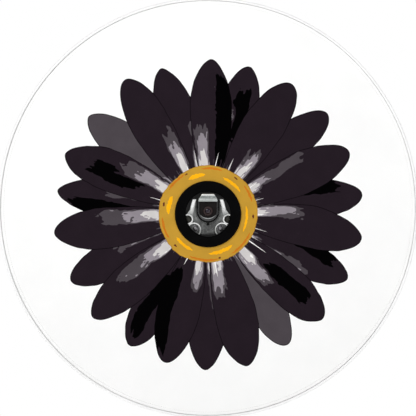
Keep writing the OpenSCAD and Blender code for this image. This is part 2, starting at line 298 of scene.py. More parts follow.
def vinyl(name, c, rough=0.42, spec=0.4, vary=0.03, grain=1.0):
    """Coated vinyl: a fine pebbled grain, a slow change of tone and gloss."""
    m = Mat(name, rough, spec=spec)
    slow = m.noise(9.0, 3)
    fine = m.noise(420.0, 2)
    tone = m.mix(m.remap(slow, 0.35, 0.65, 0, 1), shade(c, 1 - vary), shade(c, 1 + vary * 0.4))
    tone = m.mix(m.remap(fine, 0.45, 0.75, 0, 0.5), tone, shade(c, 1 - vary * 1.2))
    m.colour(tone)
    m.roughness(m.remap(m.noise(60.0, 3), 0.3, 0.7, rough - 0.05, rough + 0.08))
    m.bump(m.voronoi(560.0, "SMOOTH_F1", smoothness=0.7), 0.00016 * grain, 0.55)
    m.bump(m.noise(1500.0, 2), 0.00005 * grain, 0.5)
    return m.m


def ink(name, c, spec=0.18):
    """Print on the vinyl: the same grain, thinner gloss, and a faint mottle of the ink."""
    m = Mat(name, 0.5, spec=spec)
    slow = m.noise(30.0, 4)
    fine = m.noise(700.0, 2)
    tone = m.mix(m.remap(slow, 0.35, 0.65, 0, 1), shade(c, 0.94), shade(c, 1.05))
    tone = m.mix(m.remap(fine, 0.55, 0.8, 0, 0.6), tone, tuple(x * 0.9 + 0.0006 for x in c))
    m.colour(tone)
    m.roughness(m.remap(m.noise(60.0, 3), 0.3, 0.7, 0.46, 0.6))
    m.bump(m.voronoi(560.0, "SMOOTH_F1", smoothness=0.7), 0.00014, 0.45)
    m.bump(m.noise(1500.0, 2), 0.00005, 0.4)
    return m.m


def backing(name, c):
    """Knitted backing of the vinyl, seen from inside."""
    m = Mat(name, 0.85, spec=0.2, sheen=0.15)
    a = m.wave(420.0, "X", 0.6)
    b = m.wave(420.0, "Z", 0.6)
    d = m.wave(420.0, "Y", 0.6)
    knit = m.math("MULTIPLY", m.math("ADD", a, d), m.math("ADD", b, 0.4))
    m.colour(m.mix(m.remap(knit, 0.0, 1.6, 0, 1), shade(c, 0.82), c))
    m.roughness(m.remap(m.noise(200.0, 2), 0.3, 0.7, 0.8, 0.95))
    m.bump(knit, 0.00018, 0.6)
    return m.m


def fleece(name, c):
    m = Mat(name, 0.95, spec=0.1, sheen=0.35)
    tuft = m.noise(330.0, 5, 0.7, 1.2)
    curl = m.voronoi(240.0, "SMOOTH_F1", smoothness=0.9)
    slow = m.noise(14.0, 3)
    c2 = m.mix(m.remap(slow, 0.35, 0.65, 0, 1), shade(c, 0.93), c)
    m.colour(m.mix(m.remap(tuft, 0.35, 0.7, 0, 1), c2, shade(c, 1.06)))
    m.roughness(m.remap(tuft, 0.3, 0.7, 0.85, 1.0))
    m.bump(curl, 0.0007, 0.6)
    m.bump(tuft, 0.0006, 0.9)
    return m.m


def moulded(name, c, rough=0.5, spec=0.3, grain=900.0, depth=0.00005, wear=0.06):
    """Moulded plastic or paint with a fine spark-eroded texture."""
    m = Mat(name, rough, spec=spec)
    fine = m.noise(grain, 3, 0.6)
    slow = m.noise(55.0, 3)
    m.colour(m.mix(m.remap(slow, 0.35, 0.7, 0, 1), c, tuple(min(1, x * (1 + wear) + wear * 0.01) for x in c)))
    m.roughness(m.remap(fine, 0.3, 0.7, rough - 0.07, rough + 0.09))
    m.bump(fine, depth, 0.6)
    return m.m


def foam(name, c):
    m = Mat(name, 0.9, spec=0.15)
    cell = m.voronoi(900.0)
    m.colour(m.mix(m.remap(cell, 0.1, 0.6, 0, 1), shade(c, 0.6), shade(c, 1.3)))
    m.roughness(m.remap(cell, 0.0, 0.6, 0.8, 0.98))
    m.bump(cell, 0.0003, 0.8)
    return m.m


def metal(name, c, rough=0.25, brush=(1, 1, 1), grain=260.0, depth=0.00002, vary=0.06):
    """Plated or brushed metal. brush stretches the grain: small numbers draw it out along that axis."""
    m = Mat(name, rough, 1.0)
    v = m.scaled(*brush)
    g = m.noise(grain, 4, 0.6, vector=v)
    slow = m.noise(90.0, 2)
    m.colour(m.mix(m.remap(g, 0.3, 0.7, 0, 1), shade(c, 1 - vary), c))
    m.roughness(m.remap(m.math("ADD", g, slow), 0.7, 1.3, rough * 0.75, rough * 1.45))
    m.bump(g, depth, 0.5)
    return m.m


def cast(name, c, rough=0.5, depth=0.0002):
    """Painted casting: pebbled, lighter where it has been rubbed."""
    m = Mat(name, rough, spec=0.45)
    peb = m.voronoi(900.0, "SMOOTH_F1", smoothness=0.8)
    n = m.noise(500.0, 4, 0.65)
    m.colour(m.mix(m.remap(n, 0.4, 0.7, 0, 1), shade(c, 0.8), shade(c, 1.35)))
    m.roughness(m.remap(n, 0.3, 0.7, rough - 0.1, rough + 0.1))
    m.bump(peb, depth, 0.5)
    m.bump(n, depth * 0.6, 0.5)
    return m.m


def height_shaded_metal(name, top, low, rough, z0, z1, metallic=1.0):
    """Metal whose tone is painted to change with height, from low at z0 to top at z1, as a painted highlight and
    painted shade. z0 and z1 in mm.
    """
    m = Mat(name, rough, metallic)
    g = m.noise(330.0, 4, 0.6)
    s = m.node("ShaderNodeSeparateXYZ")
    m.wire(m.co, s.inputs[0])
    wob = m.math("ADD", s.outputs["Z"], m.remap(m.noise(260.0, 3), 0.3, 0.7, -0.002, 0.002))
    # painted highlight and painted shade: the tone follows the height in object space
    k = m.remap(wob, z0 * MM, z1 * MM, 0, 1)
    tone = m.mix(k, low, top)
    m.colour(m.mix(m.remap(g, 0.35, 0.7, 0, 0.5), tone, tuple(x * 0.7 for x in top), "MULTIPLY"))
    m.roughness(m.remap(g, 0.3, 0.7, rough * 0.7, rough * 1.5))
    m.bump(g, 0.00005, 0.5)
    return m.m


def turned_cast(name):
    """Cast and turned face of the cradle: fine rings round the clamp screw, mottled, lighter towards the shoulders as a
    painted highlight, with painted shade round the pod's opening.
    """
    m = Mat(name, 0.42, spec=0.5)
    m.p.inputs["Metallic"].default_value = 0.35
    at = m.node("ShaderNodeMapping")
    at.inputs["Location"].default_value = (0, 0, -(PORT_Z - 14.0) * MM)
    m.wire(m.co, at.inputs["Vector"])
    w = m.node("ShaderNodeTexWave", Scale=95.0, Distortion=2.2, Detail=2.0)
    w.wave_type = "RINGS"
    w.rings_direction = "Y"
    m.wire(at.outputs["Vector"], w.inputs["Vector"])
    fine = m.noise(520.0, 4, 0.65)
    blot = m.noise(150.0, 4, 0.65, 1.2)
    s = m.node("ShaderNodeSeparateXYZ")
    m.wire(m.co, s.inputs[0])
    # painted highlight: lighter up towards the shoulders and out at the sides
    up = m.remap(s.outputs["Z"], (PORT_Z - 26) * MM, (PORT_Z + 4) * MM, 0, 1)
    side = m.remap(m.math("ABSOLUTE", s.outputs["X"]), 0.014, 0.032, 0, 1)
    light = m.math("MULTIPLY", up, side, True)
    c = m.mix(m.remap(blot, 0.38, 0.62, 0, 1), srgb(50, 51, 51), srgb(80, 81, 80))
    c = m.mix(m.remap(w.outputs["Fac"], 0.2, 0.9, 0, 0.5), c, srgb(58, 59, 60))
    vein = m.remap(m.math("ABSOLUTE", m.math("SUBTRACT", m.noise(70.0, 1, 0.4, 0.6), 0.5)), 0.0, 0.06, 0.42, 0)
    c = m.mix(vein, c, srgb(112, 114, 113))
    c = m.mix(m.remap(light, 0, 1, 0, 0.9), c, srgb(170, 173, 171))
    c = m.mix(m.remap(fine, 0.5, 0.8, 0, 0.5), c, srgb(140, 142, 141))
    # the rim of the pod's opening lies in shade
    below = m.math("MINIMUM", m.math("SUBTRACT", s.outputs["Z"], (PORT_Z + 6) * MM), 0.0)
    away = m.math("SQRT", m.math("ADD", m.math("MULTIPLY", below, below), m.math("MULTIPLY", s.outputs["X"], s.outputs["X"])))
    away = m.math("ADD", away, m.remap(blot, 0.3, 0.7, -0.0015, 0.0015))
    c = m.mix(m.remap(away, 0.0232, 0.0262, 0.75, 0), c, srgb(62, 63, 62))
    m.colour(c)
    m.roughness(m.remap(fine, 0.3, 0.7, 0.34, 0.56))
    m.bump(w.outputs["Fac"], 0.00025, 0.5)
    m.bump(m.voronoi(900.0, "SMOOTH_F1", smoothness=0.8), 0.00016, 0.5)
    m.bump(fine, 0.00012, 0.5)
    return m.m


def thread(name, c):
    m = Mat(name, 0.7, spec=0.25, sheen=0.2)
    ply = m.wave(900.0, "DIAGONAL", 1.0)
    m.colour(m.mix(ply, shade(c, 0.86), c))
    m.roughness(m.remap(ply, 0, 1, 0.6, 0.8))
    m.bump(ply, 0.0001, 0.6)
    return m.m


WHITE = vinyl("vinyl_white", (0.93, 0.93, 0.925), 0.42, 0.35, 0.018)
PIPE = vinyl("vinyl_piping", (0.93, 0.93, 0.93), 0.45, 0.35, 0.03)
for n_ in PIPE.node_tree.nodes:
    if n_.type == "BSDF_PRINCIPLED":
        n_.inputs["Sheen Weight"].default_value = 0.3
        n_.inputs["Sheen Roughness"].default_value = 0.5
BACK = backing("vinyl_backing", (0.80, 0.80, 0.79))
FLEECE = fleece("fleece", (0.78, 0.78, 0.765))
THREAD = thread("thread_white", (0.88, 0.88, 0.87))
INKS = {
    "K": ink("ink_black", (0.0003, 0.0002, 0.0004), 0.01),
    "P": ink("ink_plum", srgb(34, 26, 33), 0.02),
    "D": ink("ink_dark_grey", srgb(72, 66, 71), 0.05),
    "M": ink("ink_mid_grey", srgb(138, 131, 138), 0.12),
    "L": ink("ink_light_grey", srgb(204, 200, 199), 0.2),
    "W": ink("ink_white", srgb(246, 244, 242), 0.3),
    "G": ink("ink_gold", srgb(190, 145, 46), 0.12),
    "Y": ink("ink_yellow", srgb(252, 178, 2), 0.12),
    "O": ink("ink_orange", srgb(198, 116, 24), 0.08),
    "R": ink("ink_brown", srgb(96, 44, 28), 0.08),
    "B": ink("ink_ochre", srgb(160, 112, 34), 0.08),
    "H": ink("ink_pale_yellow", srgb(238, 228, 96), 0.2),
}

# ------------------------------------------------------------------ sizes from the frame, in mm
FACE_R = hi("face_panel").x / MM
FACE_Y = lo("face_panel").y / MM
FACE_T = (hi("face_panel").y - lo("face_panel").y) / MM
BAND_R = hi("side_band").x / MM
BAND_Y0, BAND_Y1 = lo("side_band").y / MM, hi("side_band").y / MM
REAR_Y = hi("rear_return").y / MM
RING_LO, RING_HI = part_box("port_ring_front")
PORT_Z = (RING_LO.z + RING_HI.z) / 2 / MM
RING_R = RING_HI.x / MM
CUT_R = 53.5
PIPE_R = hi("piping_cover").x / MM - 2.6
PIPE_Y = lo("piping_cover").y / MM + 2.6
ELASTIC_R = (hi("elastic_cord").x / MM + lo("hem_casing").x * 0) - 3.2
HEM_Y = (lo("elastic_cord").y + hi("elastic_cord").y) / 2 / MM

# ------------------------------------------------------------------ the printed daisy
# The print is a flower in a few flat tones: black, plum, dark, middle and light grey, white. Each petal has a
# smooth light-and-dark field with streaky noise, cut at fixed levels, so its patches nest as in a poster print.
# A petal: angle of its tip, tip's distance from the port, half width, lean at the base (degrees), place of the
# widest point, two numbers for the tip's roundness, sideways bend of the tip, whether it lies in front, its own
# tone, and its patches. A patch: tone, from and to along the petal (0 base, 1 tip), from and to across it
# (-1 to 1, anticlockwise positive), softness along and across.
LEVEL = {"K": -2.2, "P": 0.0, "D": 1.6, "M": 2.5, "L": 3.5, "W": 4.7}
CUTS = (-1.0, 1.0, 2.0, 3.0, 4.0)
ART = 0.989  # size of the whole flower
TONES = "KPDMLW"
PETAL_COUNT = 22


def pick(i, k, low, high):
    """A repeatable number between low and high: the k-th of petal i."""
    return low + (high - low) * float(hash01(i * 7919 + k * 104729 + 17))


def daisy():
    """A plain daisy. Petals stand at even steps, every other one in front, and differ a little by seeded numbers."""
    out = []
    for i in range(PETAL_COUNT):
        front, side, kind = i % 2, 1 if pick(i, 1, 0, 1) > 0.5 else -1, i * 3 % 5
        patches = []

        def patch(tone, t0, t1, v0, v1, st=0.06, sv=0.10):
            v = sorted((side * v0, side * v1))
            patches.append((tone, t0, t1, v[0], v[1], st, sv))

        if kind == 0:
            patch("K", pick(i, 2, 0.05, 0.25), pick(i, 3, 0.82, 0.96), pick(i, 4, 0.15, 0.35), 1.3)
        if kind == 2:
            patch("K", pick(i, 2, 0.24, 0.36), pick(i, 3, 0.76, 0.88), -0.25, 0.55)
        patch("D", -0.1, pick(i, 5, 0.28, 0.62), -0.9, pick(i, 6, -0.35, 0.0), 0.08, 0.12)
        patch("M", -0.1, pick(i, 7, 0.18, 0.42), -0.8, pick(i, 8, -0.40, -0.1), 0.10, 0.12)
        patch("L", -0.1, pick(i, 9, 0.10, 0.22), -0.7, pick(i, 10, -0.35, 0.1), 0.08, 0.12)
        out.append((8 + 360 / PETAL_COUNT * i + pick(i, 11, -1.2, 1.2), pick(i, 12, 300, 308) + 4 * front, pick(i, 13, 35.5, 38.5) + 3 * front,
                    pick(i, 14, -2.5, 2.5), pick(i, 15, 0.55, 0.60), pick(i, 16, 1.8, 2.2), pick(i, 17, 0.56, 0.68), pick(i, 18, -0.2, 0.2),
                    front, "D" if kind == 4 and not front else "P", patches))
    return out


PETALS = daisy()
# Thin slivers between the petals: angle, from and to (mm from the port), width in mm, lean in degrees, tone
SLIVERS = [(8 + 360 / PETAL_COUNT * (i + 0.5), 96, pick(i, 31, 108, 142), pick(i, 32, 1.6, 3.0), pick(i, 33, -1.5, 1.5), "LWDLW"[i % 5])
           for i in range(PETAL_COUNT) if pick(i, 34, 0, 1) > 0.3]


class Petal:
    R0 = 82.0

    def __init__(self, spec, seed, grow=0.0):
        self.angle, self.length, self.width, self.lean, self.tm, self.p, self.q, self.skew = spec[:8]
        self.length += grow * 1.2
        self.grow = grow
        self.seed = seed
        self.tone = spec[9]
        self.patches = spec[10]

    def sides(self, t, side):
        """Half width in mm at t, on the side whose sign is given."""
        t = np.asarray(t, float)
        a = np.sin(np.clip(t / self.tm, 0, 1) * math.pi / 2) ** 0.9
        s = np.clip((t - self.tm) / (1 - self.tm), 0, 1)
        w = np.where(t < self.tm, self.width * (0.50 + 0.50 * a), self.width * np.clip(1 - s**self.p, 0, 1) ** self.q)
        wob = 1.3 * noise2(t * 7.0, side * 3.0 + 0.5, self.seed) + 0.7 * noise2(t * 21.0, side * 3.0 + 0.5, self.seed + 50)
        return np.maximum(w + self.grow + wob * smooth(0.2, 0.4, t) * smooth(0, 9, w), 0.02)

    def middle(self, t):
        return self.skew * self.width * smooth(0.45, 1.0, t)

    def at(self, t, v):
        t, v = np.broadcast_arrays(np.asarray(t, float), np.asarray(v, float))
        r = self.R0 + (self.length - self.R0) * t
        a = np.radians(self.angle + self.lean * (1 - t) ** 2)
        off = self.middle(t) + v * self.sides(t, np.where(v < 0, -1.0, 1.0))
        return np.stack([ART * (r * np.cos(a) - off * np.sin(a)), ART * (r * np.sin(a) + off * np.cos(a)) + PORT_Z], -1)

    def local(self, x, z):
        x, z = x / ART, (z - PORT_Z) / ART
        a = np.full(len(x), math.radians(self.angle))
        for _ in range(5):
            r = x * np.cos(a) + z * np.sin(a)
            t = (r - self.R0) / (self.length - self.R0)
            a = np.radians(self.angle + self.lean * (1 - t) ** 2)
        off = -x * np.sin(a) + z * np.cos(a) - self.middle(t)
        return t, off / self.sides(t, np.where(off < 0, -1.0, 1.0))

    def outline(self):
        tb = np.linspace(0, self.tm, 22, endpoint=False)
        tt = self.tm + (1 - self.tm) * np.sin(np.linspace(0, math.pi / 2, 26))
        t = np.concatenate([tb, tt])
        return np.concatenate([self.at(t, -np.ones(len(t))), self.at(t[::-1][1:], np.ones(len(t) - 1))])

    def field(self, t, v):
        f = np.full(np.shape(t), LEVEL[self.tone])
        edge = np.zeros(np.shape(t))
        for tone, t0, t1, v0, v1, st, sv in self.patches:
            # the patch's edges wander a little, so that they aren't ruled lines
            dv = 0.10 * noise2(t * 6.0, v0 * 9.1, self.seed + 7)
            rag = 1.5 if tone == "K" else 1.15
            w = smooth(t0 - st * rag, t0 + st * rag, t) * smooth(t1 + st * rag, t1 - st * rag, t)
            w = w * smooth(v0 - sv * rag, v0 + sv * rag, v + dv) * smooth(v1 + sv * rag, v1 - sv * rag, v + dv)
            edge = np.maximum(edge * (1 - w), 4 * w * (1 - w) * np.abs(LEVEL[tone] - f))
            f = f * (1 - w) + LEVEL[tone] * w
        along = t * (self.length - self.R0)
        across = v * self.width
        n = 0.9 * noise2(along / 34.0, across / 8.5, self.seed + 11) + 0.6 * noise2(along / 13.0, across / 4.2, self.seed + 23)
        n = n + 0.4 * noise2(along / 5.0, across / 2.4, self.seed + 37)
        # fine grey streaks where the petals meet the centre
        streak = smooth(0.20, 0.03, t) * np.clip(0.62 + 1.7 * noise2(along / 60.0, across / 2.9, self.seed + 41), 0, 2.0)
        f = np.where(f < 3.0, np.minimum(f + streak, 3.4), f)
        return f + n * np.clip(0.22 + 0.52 * edge, 0, 1.35)


def chain(segments):
    """Joins segments given as pairs of keys into chains of keys."""
    nxt = {}
    for a, b in segments:
        nxt.setdefault(a, []).append(b)
        nxt.setdefault(b, []).append(a)
    done, chains = set(), []
    starts = [k for k in nxt if len(nxt[k]) == 1] + list(nxt)
    for s in starts:
        if s in done:
            continue
        c, cur = [s], s
        done.add(s)
        while True:
            go = [k for k in nxt[cur] if k not in done]
            if not go:
                if len(c) > 2 and s in nxt[cur]:
                    c.append(s)
                break
            cur = go[0]
            done.add(cur)
            c.append(cur)
        if len(c) > 2:
            chains.append(c)
    return chains


def thin_out(p, tol):
    """Douglas-Peucker."""
    keep = np.zeros(len(p), bool)
    keep[0] = keep[-1] = True
    if np.allclose(p[0], p[-1]):
        far = int(np.argmax(np.linalg.norm(p - p[0], axis=1)))
        keep[far] = True
        stack = [(0, far), (far, len(p) - 1)]
    else:
        stack = [(0, len(p) - 1)]
    while stack:
        a, b = stack.pop()
        if b - a < 2:
            continue
        d = p[b] - p[a]
        n = np.linalg.norm(d)
        q = p[a + 1:b] - p[a]
        dist = np.abs(q[:, 0] * d[1] - q[:, 1] * d[0]) / n if n > 1e-9 else np.linalg.norm(q, axis=1)
        i = int(np.argmax(dist))
        if dist[i] > tol:
            keep[a + 1 + i] = True
            stack += [(a, a + 1 + i), (a + 1 + i, b)]
    return p[keep]


def contours(F, place, level):
    """Lines where a sampled field crosses a level. place turns grid coordinates into points in mm."""
    s = F > level
    h = s[:-1, :] != s[1:, :]
    w = s[:, :-1] != s[:, 1:]
    cells = np.argwhere(h[:, :-1] | h[:, 1:] | w[:-1, :] | w[1:, :])
    where, segs = {}, []

    def edge(i, j, kind):
        key = (i, j, kind)
        if key not in where:
            a = F[i, j]
            b = F[i + 1, j] if kind == 0 else F[i, j + 1]
            k = min(max((level - a) / (b - a), 0.02), 0.98)
            where[key] = (i + k, j) if kind == 0 else (i, j + k)
        return key

    for i, j in cells:
        i, j = int(i), int(j)
        c = []
        if h[i, j]:
            c.append(edge(i, j, 0))
        if w[i + 1, j]:
            c.append(edge(i + 1, j, 1))
        if h[i, j + 1]:
            c.append(edge(i, j + 1, 0))
        if w[i, j]:
            c.append(edge(i, j, 1))
        if len(c) == 2:
            segs.append((c[0], c[1]))
        elif len(c) == 4:
            if s[i, j] == ((F[i, j] + F[i + 1, j] + F[i, j + 1] + F[i + 1, j + 1]) / 4 > level):
                segs += [(c[0], c[1]), (c[2], c[3])]
            else:
                segs += [(c[0], c[3]), (c[1], c[2])]
    out = []
    for c in chain(segs):
        g = np.array([where[k] for k in c], float)
        p = place(g[:, 0], g[:, 1])
        if np.linalg.norm(np.diff(p, axis=0), axis=1).sum() > 5.0:
            out.append(thin_out(p, 0.22))
    return out


def inside(poly, pts):
    """Which points lie in the polygon, by the even-odd rule."""
    res = np.zeros(len(pts), bool)
    lo_, hi_ = poly.min(0), poly.max(0)
    near = np.nonzero(((pts >= lo_) & (pts <= hi_)).all(1))[0]
    if not len(near):
        return res
    q = pts[near]
    c = np.zeros(len(q), bool)
    for (x0, y0), (x1, y1) in zip(poly, np.roll(poly, -1, 0)):
        if y0 == y1:
            continue
        cond = (y0 > q[:, 1]) != (y1 > q[:, 1])
        c ^= cond & (q[:, 0] < x0 + (q[:, 1] - y0) * (x1 - x0) / (y1 - y0))
    res[near] = c
    return res


def circle(r, n, cz=0.0):
    a = np.arange(n) * TAU / n
    return np.stack([r * np.cos(a), r * np.sin(a) + cz], -1)


def blob(points, jitter=0.5, cell=3.0, seed=1, step=1.2):
    """A closed patch of the centre through points of (degrees, radius), smoothed and a little ragged."""
    g = np.array([(r * math.cos(math.radians(d)), r * math.sin(math.radians(d))) for d, r in points], float)
    out = []
    n = len(g)
    for i in range(n):
        p0, p1, p2, p3 = g[i - 1], g[i], g[(i + 1) % n], g[(i + 2) % n]
        m = max(2, int(np.linalg.norm(p2 - p1) / step))
        for k in range(m):
            u = k / m
            c = 0.5 * (2 * p1 + (p2 - p0) * u + (2 * p0 - 5 * p1 + 4 * p2 - p3) * u * u + (3 * p1 - p0 - 3 * p2 + p3) * u**3)
            c = c * 0.6 + (p1 * (1 - u) + p2 * u) * 0.4
            out.append(c)
    p = np.array(out)
    d = np.stack([noise2(p[:, 0] / cell, p[:, 1] / cell, seed), noise2(p[:, 0] / cell, p[:, 1] / cell, seed + 3)], -1)
    d += 0.7 * np.stack([noise2(p[:, 0] / 1.3, p[:, 1] / 1.3, seed + 5), noise2(p[:, 0] / 1.3, p[:, 1] / 1.3, seed + 8)], -1)
    p = (p + d * jitter) * ART
    p[:, 1] += PORT_Z
    return p


def centre_edge():
    a = np.radians(np.arange(0, 360, 0.9))
    r = 96.5 + 1.8 * ring_noise(a, 11, 4) + 0.6 * ring_noise(a, 30, 5)
    return a, r + 0.6 * (ring_noise(a, 75, 6) + 0.7 * ring_noise(a, 160, 7))


def arc(at, span, r0, r1, seed):
    """A ragged patch along part of the centre's ring, with narrow ends."""
    u = np.linspace(-1, 1, 9)
    mid, half = (r0 + r1) / 2, (r1 - r0) / 2
    up = [(at + span / 2 * x, mid + half * (1 - x**4) + 0.4) for x in u]
    down = [(at + span / 2 * x, mid - half * (1 - x**4) - 0.4) for x in u[::-1]]
    return blob(up + down, 0.8, 3.0, seed)


def centre_layers():
    """The gold centre: a dark rim, the gold, and flecks of other yellows at even steps."""
    a, r = centre_edge()
    rim = r + 0.9 + 0.5 * ring_noise(a, 100, 8)
    r, rim = r * ART, rim * ART
    layers = [("B", np.stack([rim * np.cos(a), rim * np.sin(a) + PORT_Z], -1))]
    layers.append(("G", np.stack([r * np.cos(a), r * np.sin(a) + PORT_Z], -1)))
    for k in range(6):
        layers.append(("O", arc(20 + 60 * k + pick(k, 41, -8, 8), pick(k, 42, 22, 38), 89.0, 92.5, 60 + k)))
        layers.append(("Y", arc(50 + 60 * k + pick(k, 43, -8, 8), pick(k, 44, 24, 40), 75.0, 75.0 + pick(k, 45, 3, 8), 70 + k)))
        layers.append(("R", arc(50 + 60 * k + pick(k, 46, -12, 12), pick(k, 47, 3, 6), 88.5, 91.0, 80 + k)))
    return layers


def sliver(a, r0, r1, w, lean, tone):
    s = np.linspace(0, 1, 12)
    r = (r0 - 6 + (r1 - r0 + 6) * s) * ART
    ang = np.radians(a + lean * s)
    h = w / 2 * (1 - s) ** 0.7 * (1 + 0.35 * noise2(s * 6, a, 3))
    c = np.stack([r * np.cos(ang), r * np.sin(ang) + PORT_Z], -1)
    nrm = np.stack([-np.sin(ang), np.cos(ang)], -1)
    return np.concatenate([c + nrm * h[:, None], (c - nrm * h[:, None])[::-1][1:]])


def face_relief(x, z):
    """How far the stretched face stands proud, in mm."""
    r = np.hypot(x, z)
    th = np.arctan2(z, x) % TAU
    pucker = smooth(372, 403, r) * (0.20 * ring_noise(th, 150, 21) + 0.14 * ring_noise(th + r * 0.0008, 61, 22))
    rp = np.hypot(x, z - PORT_Z)
    tp = np.arctan2(z - PORT_Z, x) % TAU
    port = (1 - smooth(66, 120, rp)) * 0.10 * ring_noise(tp, 40, 23)
    drum = 0.35 * noise2(x / 210.0 + 9, z / 210.0 + 4, 24) + 0.10 * noise2(x / 70.0, z / 70.0, 25)
    dome = 0.5 * (1 - (r / FACE_R) ** 2)
    return (drum + dome) * smooth(FACE_R + 1, FACE_R - 60, r) * smooth(60, 110, rp) + pucker + port


def build_face():
    order = [k for k, s in enumerate(PETALS) if not s[8]] + [k for k, s in enumerate(PETALS) if s[8]]
    petals = [Petal(PETALS[k], 100 + 31 * k) for k in order]
    rims = [Petal(PETALS[k], 100 + 31 * k, 1.0).outline() for k in order]
    bodies_ = [p.outline() for p in petals]
    tips = [sliver(*s) for s in SLIVERS]
    centre = centre_layers()
    pts, edges = [], []

    def add(poly, closed=True):
        base, n = len(pts), len(poly)
        pts.extend([tuple(p) for p in poly])
        edges.extend([(base + i, base + i + 1) for i in range(n - 1)] + ([(base + n - 1, base)] if closed else []))

    add(circle(FACE_R, 360))
    add(circle(CUT_R, 96, PORT_Z))
    for poly in rims + bodies_ + tips + [c[1] for c in centre]:
        add(poly)
    count = 0
    for i, petal in enumerate(petals):
        span = petal.length - petal.R0
        nt, nv = int(span * 1.03 / 1.15), int(2.08 * petal.width / 1.0)
        t = np.linspace(-0.01, 1.0, nt)
        v = np.linspace(-1.04, 1.04, nv)
        T, V = np.meshgrid(t, v, indexing="ij")
        F = petal.field(T, V)

        def place(gi, gj):
            return petal.at(t[0] + (t[-1] - t[0]) * gi / (nt - 1), v[0] + (v[-1] - v[0]) * gj / (nv - 1))

        above = [bodies_[j] for j in range(i + 1, len(petals))]
        for level in CUTS:
            for line in contours(F, place, level):
                hid = np.hypot(line[:, 0], line[:, 1] - PORT_Z) < 84
                for poly in above:
                    hid |= inside(poly, line)
                show = ~(hid[:-1] & hid[1:])
                base = len(pts)
                pts.extend([tuple(p) for p in line])
                for k in np.nonzero(show)[0]:
                    edges.append((base + int(k), base + int(k) + 1))
                    count += 1
    # points that only carry the relief, kept away from the print's own points
    art = np.array(pts)
    cell = {(int(math.floor(x / 5)), int(math.floor(z / 5))) for x, z in art}

    def relief_points(ring, z0):
        for r, n, off in ring:
            for a in (np.arange(n) + off) * TAU / n:
                x, z = r * math.cos(a), r * math.sin(a) + z0
                if (int(math.floor(x / 5)), int(math.floor(z / 5))) not in cell:
                    pts.append((x, z))

    relief_points([(r, int(TAU * r / 9.0), 0.5 * (i % 2)) for i, r in enumerate(np.arange(FACE_R - 4, 322, -7.0))], 0.0)
    relief_points([(r, int(TAU * r / 10.0), 0.5 * (i % 2)) for i, r in enumerate(np.arange(58.5, 312, 9.0))], PORT_Z)
    used_pts = sorted({i for e in edges for i in e} | set(range(len(art), len(pts))))
    remap_pt = {p: i for i, p in enumerate(used_pts)}
    vecs = [Vector(pts[p]) for p in used_pts]
    out = delaunay_2d_cdt(vecs, [(remap_pt[a], remap_pt[b]) for a, b in edges], [], 0, 1e-3, True)
    v = np.array([(p.x, p.y) for p in out[0]])
    f = np.array([t for t in out[2] if len(t) == 3], int)
    fixed = {tuple(sorted(e)) for e, o in zip(out[1], out[4]) if len(o)}
    c = v[f].mean(1)
    a, b, d = v[f[:, 0]], v[f[:, 1]], v[f[:, 2]]
    area = (b[:, 0] - a[:, 0]) * (d[:, 1] - a[:, 1]) - (b[:, 1] - a[:, 1]) * (d[:, 0] - a[:, 0])
    keep = (np.hypot(c[:, 0], c[:, 1]) < FACE_R - 1e-3) & (np.hypot(c[:, 0], c[:, 1] - PORT_Z) > CUT_R * math.cos(math.pi / 96)) & (np.abs(area) > 1e-7)
    f, c, area = f[keep], c[keep], area[keep]
    f[area < 0] = f[area < 0][:, ::-1]
    area = np.abs(area)
    # the tone at each triangle's middle, by painting the layers in order
    names = ["white"] + list(INKS)
    tone = np.zeros(len(f), int)
    for petal, rim, body in zip(petals, rims, bodies_):
        tone[inside(rim, c)] = names.index("K")
        idx = np.nonzero(inside(body, c))[0]
        if len(idx):
            t, w = petal.local(c[idx, 0], c[idx, 1])
            lev = np.searchsorted(np.array(CUTS), petal.field(t, w))
            tone[idx] = np.array([names.index(k) for k in TONES])[lev]
    for poly, spec in zip(tips, SLIVERS):
        tone[inside(poly, c)] = names.index(spec[5])
    for name, poly in centre:
        tone[inside(poly, c)] = names.index(name)
    # triangles not parted by a printed line take one tone, the one with most area
    parent = list(range(len(f)))

    def root(i):
        while parent[i] != i:
            parent[i] = parent[parent[i]]
            i = parent[i]
        return i

    owner = {}
    for i, tri in enumerate(f.tolist()):
        for p, q in ((tri[0], tri[1]), (tri[1], tri[2]), (tri[2], tri[0])):
            k = (p, q) if p < q else (q, p)
            if k in fixed:
                continue
            if k in owner:
                ra, rb = root(i), root(owner[k])
                if ra != rb:
                    parent[ra] = rb
            else:
                owner[k] = i
    group = np.array([root(i) for i in range(len(f))])
    votes = np.zeros((len(f), len(names)))
    np.add.at(votes, (group, tone), area)
    tone = votes.argmax(1)[group]
    used = np.unique(f)
    back = -np.ones(len(v), int)
    back[used] = np.arange(len(used))
    v, f = v[used], back[f]
    h = face_relief(v[:, 0], v[:, 1])
    n = len(v)
    front = np.stack([v[:, 0], FACE_Y - h, v[:, 1]], -1)
    rear = np.stack([v[:, 0], FACE_Y - h + FACE_T, v[:, 1]], -1)
    key = {}
    for p, q in np.concatenate([f[:, [0, 1]], f[:, [1, 2]], f[:, [2, 0]]]).tolist():
        key[(p, q)] = True
    walls = [(p, q) for (p, q) in key if (q, p) not in key]
    faces = f.tolist() + (f[:, ::-1] + n).tolist() + [(q, p, p + n, q + n) for p, q in walls]
    ids = list(tone) + [len(names)] * len(f) + [0] * len(walls)
    mesh = bpy.data.meshes.new("face_print")
    mesh.from_pydata((np.concatenate([front, rear]) * MM).tolist(), [], faces)
    mesh.update()
    ob = link("face_print", mesh, [WHITE] + [INKS[k] for k in INKS] + [BACK])
    mesh.polygons.foreach_set("material_index", np.asarray(ids, np.int32))
    mesh.polygons.foreach_set("use_smooth", [True] * len(mesh.polygons))
